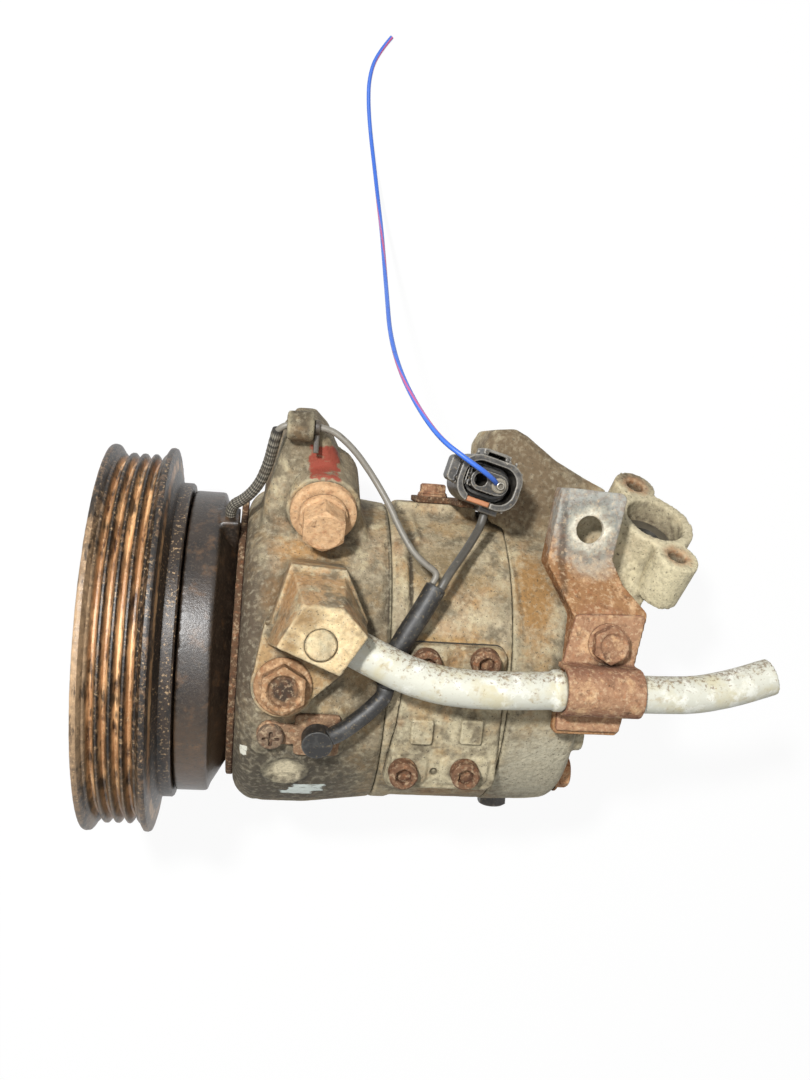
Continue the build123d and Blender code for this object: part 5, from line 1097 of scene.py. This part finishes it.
class COMPRESSOR_OT_leads(bpy.types.Operator):
    """Draws the coil lead, its braid, the rubber sleeve and the protector's cable."""

    bl_idname = "compressor.leads"
    bl_label = "Leads"

    def execute(self, context):
        grey = moulded("grey_lead_insulation", "#79746a", "#5c574e", 0.45, dust=0.2)
        dark = moulded("sooty_lead_insulation", "#4b4842", "#6b665c", 0.45, dust=0.2)
        rubber = moulded("black_rubber_sleeve", "#1f1e1d", "#5b5a56", 0.5)
        for name, node, slot, *finish in (
            ("coil_wire", "coil_lead", "grey_insulation", grey, 0.28, 0.03, 2.0),
            ("connector_wire", "connector_lead", "grey_insulation", dark, 0.28, 0.03, 2.0),
            ("crimp_sleeve", "joint_sleeve", "black_rubber", rubber, 0.32, 0.05, 4.0),
            ("boot_cable", "protector_cable", "black_rubber", rubber, 0.32, 0.05, 4.0),
            ("protector_boot", "thermal_protector", "black_rubber", rubber, 0.32, 0.05, 4.0),
        ):
            skin(name, node, "compressor", slot, *finish)

        paint, tree, shader, place = blank_material("varnished_glass_braid", Roughness=0.6)
        # Woven glass yarn: grey strands that stand up like beads, black varnish and dirt between them. Real
        # strands are 0.5 mm wide, and these are twice that, so that they show.
        weave = add(tree, "ShaderNodeAttribute", attribute_name="weave").outputs["Fac"]
        strands = add(tree, "ShaderNodeMapRange", {"Value": weave, "From Min": -0.2, "From Max": 0.6})
        tint = layered(
            tree, linear("#2b2824"),
            ("#8f897b", strands),
            ("#4a4033", blotches(tree, place, 4.0, 0.5, 0.66, 0.6)),
        )
        tree.links.new(tint, shader.inputs["Base Color"])
        rough_up(tree, shader, place, 0.4, 0.05, 0.4)
        # It leaves the coil case square to its side, 30 degrees up from +Y.
        a = math.radians(30.0)
        route = [(38.4, radius * math.cos(a), radius * math.sin(a)) for radius in (50.05, 53.45)]
        route += [(42.6, 48.6, 29.2), (46.6, 53.4, 32.2), (49.0, 60.0, 36.4), (50.1, 66.0, 40.4),
                  (51.0, 70.0, 43.4)]
        line = smooth_line("braid_line", route)
        braid = swept("woven_braid", line, 1.66, paint, 48, weave=0.12, weave_turn=2.2, strands=8.0)
        fit(braid, "compressor", "black_plastic", "braided_sleeve")
        return {"FINISHED"}


class COMPRESSOR_OT_connector(bpy.types.Operator):
    """Moulds the lead connector with its latch, ribs and seal."""

    bl_idname = "compressor.connector"
    bl_label = "Connector"

    def execute(self, context):
        # Its pale rims are wear and also a painted highlight along the edges.
        shell_paint = moulded("black_nylon_connector", "#211e1a", "#99948a", 0.42, 0.3, rims=0.506)
        foot = Matrix.Translation((113.6 * MM, 59.0 * MM, 31.0 * MM))
        place = foot @ Matrix.Rotation(math.radians(-15), 4, "Z")
        # Ribs and latch bars as (centre, size), in the connector's own frame.
        ribs = [((x, 7.0, 17.6), (0.7, 2.2, 1.0)) for x in (-6.0, -4.0, 4.0, 6.0)]
        ribs += [((x, -6.9, 16.0), (0.7, 1.2, 4.5)) for x in (3.4, 5.0, 6.4)]
        ribs += [((-9.2, y, 16.4), (1.4, 0.7, 3.0)) for y in (-3.0, -1.6, 3.6)]
        ribs += [((0.0, 9.2, 15.4), (6.0, 0.7, 1.6)), ((7.2, 5.2, 18.2), (2.8, 0.7, 1.2))]
        ribs += [((x, 0.0, 16.6), (0.4, 5.4, 2.2)) for x in (-7.0, -6.1, -5.2)]
        skin("connector_shell", "connector_housing", "compressor", "black_plastic", shell_paint, 0.26, 0.03,
             2.0, rounds=2, place=place, boxes=ribs)
        plug_paint = moulded("grey_silicone_wire_seal", "#6d675b", "#a29a88", 0.5)
        outline = [(0, 0.4), (1.0, 0.4), (1.3, 0.0), (1.9, 0.0), (2.2, -0.4), (2.2, -2.5), (0, -2.5)]
        plug = turned("wire_seal_disc", outline, frame_at((116.3, 58.28, 51.0), (0, 0, 1)), plug_paint, 48)
        crimp_paint = machined_metal("tinned_brass_crimp", "#c9c4b8", 0.9, 0.3)
        outline = [(0.8, -0.6), (1.0, -0.6), (1.05, 1.2), (0.85, 1.3), (0.8, -0.6)]
        crimp = turned("wire_crimp", outline, frame_at((116.3, 58.28, 51.4), (0, 0, 1)), crimp_paint, 32,
                       wear=0.02)
        for made, slot in ((plug, "black_rubber"), (crimp, "bright_steel")):
            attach(made, "compressor")
        # Heat has dulled the orange nylon towards brown.
        orange = moulded("orange_nylon_lock", "#a9704b", "#8a5534", 0.5)
        skin("connector_lock_tab", "connector_lock", "compressor", "orange_plastic", orange, 0.22, 0.03, 2.0,
             rounds=2)
        seal_paint = moulded("black_silicone_seal", "#2c2b29", "#575651", 0.45)
        skin("connector_ring_seal", "connector_seal", "compressor", "black_rubber", seal_paint, 0.25, 0.03,
             2.0, rounds=2)
        return {"FINISHED"}


class COMPRESSOR_OT_inner_parts(bpy.types.Operator):
    """Finishes the parts inside the compressor and the clutch."""

    bl_idname = "compressor.inner_parts"
    bl_label = "Inner parts"

    def execute(self, context):
        steel = machined_metal("ground_bearing_steel", "#b9b8b4", 1.0, 0.22)
        paint_nodes(steel, "pulley_bearing_outer_ring", "pulley_bearing_inner_ring", "pulley_bearing_balls",
                    "needle_shells", "front_needle_set", "rear_needle_set", "rotor_shaft", "discharge_reeds")
        springs = machined_metal("oiled_spring_steel", "#5c554c", 0.7, 0.42, 0.8)
        paint_nodes(springs, "leaf_springs")
        iron = machined_metal("machined_iron_rotor", "#8d8a84", 0.9, 0.38)
        paint_nodes(iron, "vane_rotor", "check_valve_seat")
        plates = machined_metal("machined_aluminium_plates", "#b7b5ae", 0.9, 0.4)
        paint_nodes(plates, "side_plates")
        dark = machined_metal("phosphated_steel_rings", "#3b3733", 0.6, 0.5)
        paint_nodes(dark, "bearing_circlip", "housing_circlips")
        vane = moulded("aluminium_composite_vane", "#8a8377", "#6b655a", 0.4, 0.5)
        paint_nodes(vane, "vane_1", "vane_2", "vane_3", "vane_4", "vane_5")
        rubber = moulded("nitrile_rubber", "#232220", "#3a3835", 0.5, 0.3)
        paint_nodes(rubber, "static_seals", "shaft_seal", "pulley_bearing_seals", "check_valve_poppet")
        copper = machined_metal("enamelled_copper_winding", "#a4683c", 0.7, 0.35, 0.7)
        paint_nodes(copper, "field_coil_winding")
        return {"FINISHED"}


class COMPRESSOR_PT_pieces(bpy.types.Panel):
    """Lists the operators that build the pieces."""

    bl_label = "Compressor"
    bl_idname = "COMPRESSOR_PT_pieces"
    bl_space_type = "VIEW_3D"
    bl_region_type = "UI"
    bl_category = "Compressor"

    def draw(self, context):
        for step in STEPS:
            self.layout.operator(step.bl_idname)
        for group in LOOKS:
            look = getattr(context.scene, group)
            box = self.layout.box()
            for key in look.bl_rna.properties.keys():
                if key not in ("rna_type", "name"):
                    box.prop(look, key)


LOOKS = {
    "compressor_castings": CastingLook,
    "compressor_clutch": ClutchLook,
    "compressor_steel": SteelLook,
    "compressor_lines": LineLook,
}
STEPS = [
    COMPRESSOR_OT_stage,
    COMPRESSOR_OT_test_wire,
    COMPRESSOR_OT_castings,
    COMPRESSOR_OT_clutch,
    COMPRESSOR_OT_bolts,
    COMPRESSOR_OT_plates,
    COMPRESSOR_OT_pipe,
    COMPRESSOR_OT_leads,
    COMPRESSOR_OT_connector,
    COMPRESSOR_OT_inner_parts,
]


def register():
    for kind in (*LOOKS.values(), *STEPS, COMPRESSOR_PT_pieces):
        bpy.utils.register_class(kind)
    for group, kind in LOOKS.items():
        setattr(bpy.types.Scene, group, PointerProperty(type=kind))


def unregister():
    for group in LOOKS:
        delattr(bpy.types.Scene, group)
    for kind in (COMPRESSOR_PT_pieces, *reversed(STEPS), *reversed(LOOKS.values())):
        bpy.utils.unregister_class(kind)


def main():
    register()
    TREES.update(skin=skin_tree(), swept=swept_tree(), set_out=set_out_tree())
    for step in STEPS:
        getattr(bpy.ops.compressor, step.bl_idname.split(".")[1])()


if __name__ == "__main__":
    main()
